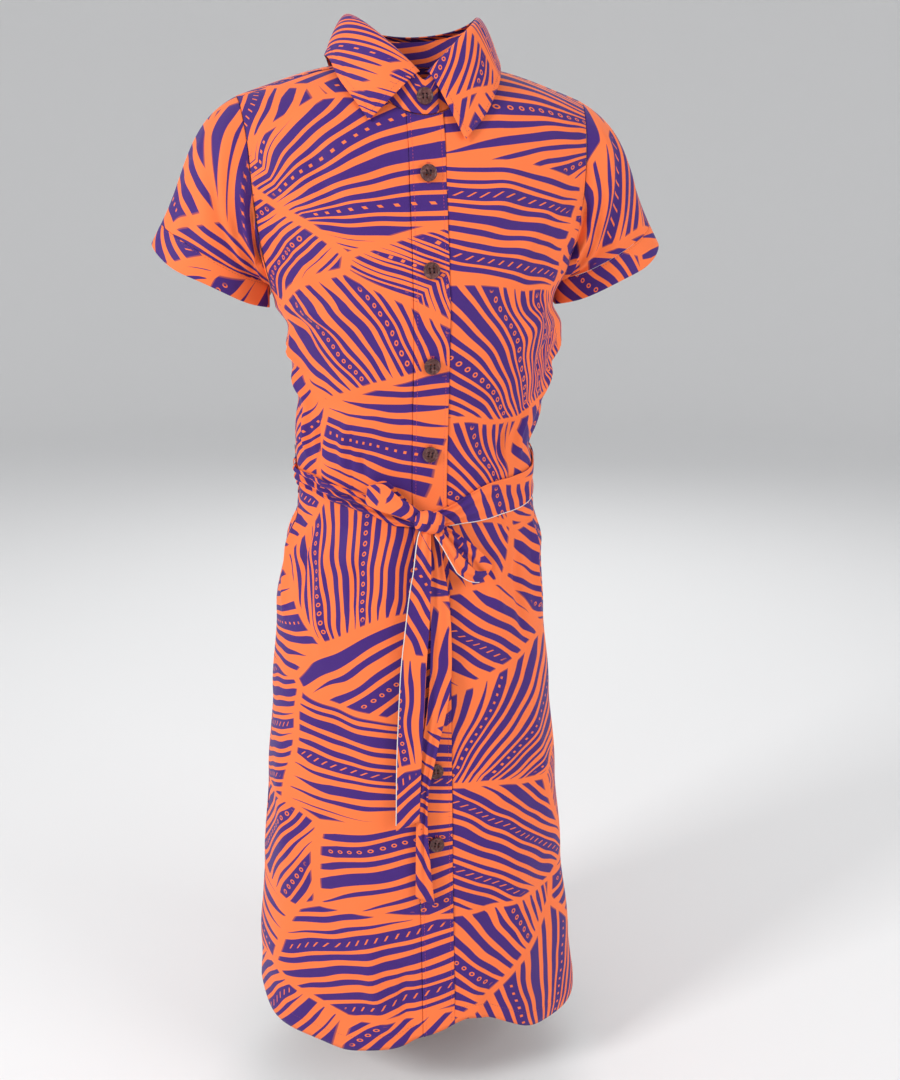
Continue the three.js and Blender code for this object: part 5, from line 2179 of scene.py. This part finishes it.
@dataclass
class Dress:
    """All the pieces in the order in which they are built."""

    body: Body = field(default_factory=Body)
    sleeves: Sleeves = field(default_factory=Sleeves)
    collar: Collar = field(default_factory=Collar)
    belt: Belt = field(default_factory=Belt)
    buttons: Buttons = field(default_factory=Buttons)
    wardrobe: Wardrobe = field(default_factory=Wardrobe)

    def build_body(self) -> None:
        """Fronts, back, bands and yoke with their stitching."""
        w, body = self.wardrobe, self.body
        for name, side in (("right", -1), ("left", 1)):
            points, cut = body.front(side)
            Sheet(f"front_{name}", points, cut, shift_print=FRONT_PRINT[name]).build(w)
            self.sew_hem(f"front_{name}", points)
        for name, lift, slack in (("right", body.band_lift, 0.5), ("left", body.under_lift, 0.2)):
            points, cut = body.band(lift, slack)
            shift = FRONT_PRINT[name]
            Sheet(f"band_{name}", points, cut, shift_print=shift, both_printed=True).build(w)
            if name == "right":
                rows = Stitching(f"stitch_band_{name}", f"band_{name}")
                for column in (4, 10):
                    rows.along_grid(points, column=column)
                rows.build(w.coral)
        points, cut = body.back()
        Sheet("back", points, cut, shift_print=(0.83, 0.41)).build(w)
        self.sew_hem("back", points)
        points, cut = body.yoke()
        Sheet("yoke", points, cut, shift_print=(3.3, 1.1), both_printed=True).build(w)
        rows = Stitching("stitch_yoke", "yoke")
        rows.along_grid(points, column=2.0)
        rows.along_grid(points, column=points.shape[1] - 3.0)
        rows.build(w.thread)

    def sew_hem(self, node: str, points: Array) -> None:
        """Sews the turned hem of a piece.

        Args:
            node: the piece's node.
            points: its points, the hem last.
        """
        step = np.linalg.norm(points[-1] - points[-2], axis=1).mean()
        rows_up = (self.body.hem_turned - self.body.stitch_inset) / float(step)
        rows = Stitching(f"stitch_{node}", node)
        rows.along_grid(points, row=len(points) - 1 - rows_up)
        rows.build(self.wardrobe.thread)

    def build_sleeves(self) -> None:
        """Both sleeves and their bands."""
        w = self.wardrobe
        for side, flip, shift in (("left", False, (4.1, 0.2)), ("right", True, (5.3, 0.9))):
            for kind, make in (("sleeve", self.sleeves.sleeve), ("cuff", self.sleeves.cuff)):
                node = f"{kind}_{side}"
                points, cut = make()
                if flip:
                    points = mirrored(points)
                is_band = kind == "cuff"
                Sheet(
                    node, points, cut, closed=True, shift_print=shift,
                    turn_print=1.5 if is_band else 0.15, both_printed=is_band,
                ).build(w)
                if is_band:
                    rows = Stitching(f"stitch_{node}", node)
                    ring = np.concatenate([points, points[:, :1]], 1)
                    rows.along_grid(ring, row=2.0)
                    rows.build(w.thread)

    def build_collar(self) -> None:
        """Stand and leaf."""
        w = self.wardrobe
        points, cut = self.collar.stand()
        Sheet("collar_stand", points, cut, 1.0, both_printed=True, shift_print=(6.1, 0.4)).build(w)
        points, cut = self.collar.leaf()
        Sheet(
            "collar", points, cut, 1.1, both_printed=True, held=Held.FOLDED,
            turn_print=0.5, shift_print=(7.2, 0.7),
        ).build(w)
        rows = Stitching("stitch_collar", "collar")
        rows.run(*self.inset(points, 5.0))
        rows.build(w.thread)

    def inset(self, points: Array, distance: float) -> tuple[Array, Array]:
        """Line that runs inside the leaf's front and outer edges.

        Args:
            points: the leaf's rows and columns.
            distance: how far inside.

        Returns:
            The line's points and their outward normals.
        """
        normals = grid_normals(points, False)
        rows, columns = points.shape[:2]
        lengths = steps(points, 1)
        travelled = np.concatenate([np.zeros((rows, 1)), np.cumsum(lengths, 1)], 1)
        downs = steps(points, 0)
        below = np.concatenate([np.cumsum(downs[::-1], 0)[::-1], np.zeros((1, columns))], 0)
        line, facing = [], []

        def pick(i: int, j: int) -> None:
            """Keeps one grid point of the line."""
            line.append(points[i, j])
            facing.append(normals[i, j])

        corner = int(np.argmin(np.abs(below[:, 4] - distance)))
        for i in range(2, corner):
            pick(i, int(np.argmin(np.abs(travelled[i] - distance))))
        start = int(np.argmin(np.abs(travelled[corner] - distance)))
        stop = int(np.argmin(np.abs(travelled[corner, -1] - travelled[corner] - distance)))
        for j in range(start, stop):
            pick(int(np.argmin(np.abs(below[:, j] - distance))), j)
        for i in range(corner, 1, -1):
            pick(i, int(np.argmin(np.abs(travelled[i, -1] - travelled[i] - distance))))
        return np.array(line), np.array(facing)

    def build_belt(self) -> None:
        """Waist run, knot, bow, tails and carriers."""
        w, belt = self.wardrobe, self.belt
        points, cut = belt.waist()
        Sheet(
            "belt_waist", points, cut, 1.1, closed=True, both_printed=True,
            rim_is_reverse=True, held=Held.STRETCHED, shift_print=(8.3, 0.3),
        ).build(w)
        low = slice(6, 84)
        line = Piping("lining_waist", "belt_waist")
        line.build(points[-1, low], grid_normals(points, True)[-1, low], w.lining)
        parts = (
            ("bow_right", belt.bow_right, (0.12, 0.993), 110, 1.1, 0.0),
            ("bow_left", belt.bow_left, (-0.65, -0.76), 120, 0.9, 0.0),
            ("tail_right", belt.tail_right, (1, 0), 120, 1.0, 5.0),
            ("tail_left", belt.tail_left, (1, 0), 150, 1.2, -6.0),
        )
        for i, (name, stations, across, count, fold, slant) in enumerate(parts):
            points, cut = belt.ribbon(stations, across, count, fold, slant)
            Sheet(
                f"belt_{name}", points, cut, 1.0, both_printed=True,
                rim_is_reverse=True, held=Held.FOLDED, shift_print=(9.1 + i, 0.2 + 0.3 * i),
            ).build(w)
            if name in ("bow_left", "tail_right"):
                edge = slice(64, 112) if name == "bow_left" else slice(4, 118)
                column = -1 if name == "bow_left" else 0
                normals = grid_normals(points, False)[edge, column]
                line = Piping(f"lining_{name}", f"belt_{name}")
                line.build(points[edge, column], normals, w.lining)
        self.build_knot()
        for side, name in ((-1, "right"), (1, "left")):
            points, cut = belt.carrier(side)
            Sheet(
                f"carrier_{name}", points, cut, 0.8, both_printed=True,
                held=Held.STRETCHED, shift_print=(14.2 + side, 0.5),
            ).build(w)

    def build_knot(self) -> None:
        """The knot as one closed, padded mesh."""
        grid = self.belt.knot()
        rows, columns = grid.shape[:2]
        inner = grid[1:-1].reshape(-1, 3)
        ends = np.stack([grid[0].mean(0), grid[-1].mean(0)])
        vertices = np.concatenate([inner, ends]) * MM
        faces, corners = [], []
        first, last = len(inner), len(inner) + 1
        for i in range(rows - 3):
            for j in range(columns):
                k = (j + 1) % columns
                faces.append((i * columns + j, i * columns + k, (i + 1) * columns + k, (i + 1) * columns + j))
                corners += [(j, i), (j + 1, i), (j + 1, i + 1), (j, i + 1)]
        base = (rows - 3) * columns
        for j in range(columns):
            k = (j + 1) % columns
            faces += [(first, k, j), (last, base + j, base + k)]
            corners += [(j + 0.5, -1), (j + 1, 0), (j, 0)]
            corners += [(j + 0.5, rows - 2), (j, rows - 3), (j + 1, rows - 3)]
        mesh = bpy.data.meshes.new("cloth_belt_knot")
        mesh.from_pydata(vertices.tolist(), [], faces)
        layer = mesh.uv_layers.new(name="cut")
        uv = np.array(corners, np.float32) * np.array([0.00125, 0.0011]) + np.array([16.0, 0.37])
        layer.data.foreach_set("uv", uv.astype(np.float32).ravel())
        mesh.shade_smooth()
        mesh.materials.append(self.wardrobe.face)
        piece = placed("cloth_belt_knot", mesh)
        face_outward(mesh)
        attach(piece, "root")
        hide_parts("belt_knot")
        LOG.info("belt knot: %d points", len(vertices))

    def build(self) -> None:
        """Builds every piece."""
        self.build_body()
        self.build_sleeves()
        self.build_collar()
        self.build_belt()
        self.buttons.build(self.wardrobe, self.collar, self.body)


def main() -> None:
    """Builds the studio and the dress."""
    logging.basicConfig(level=logging.INFO, format="%(name)s: %(message)s")
    Dress().build()
    Studio().build()


if __name__ == "__main__":
    main()
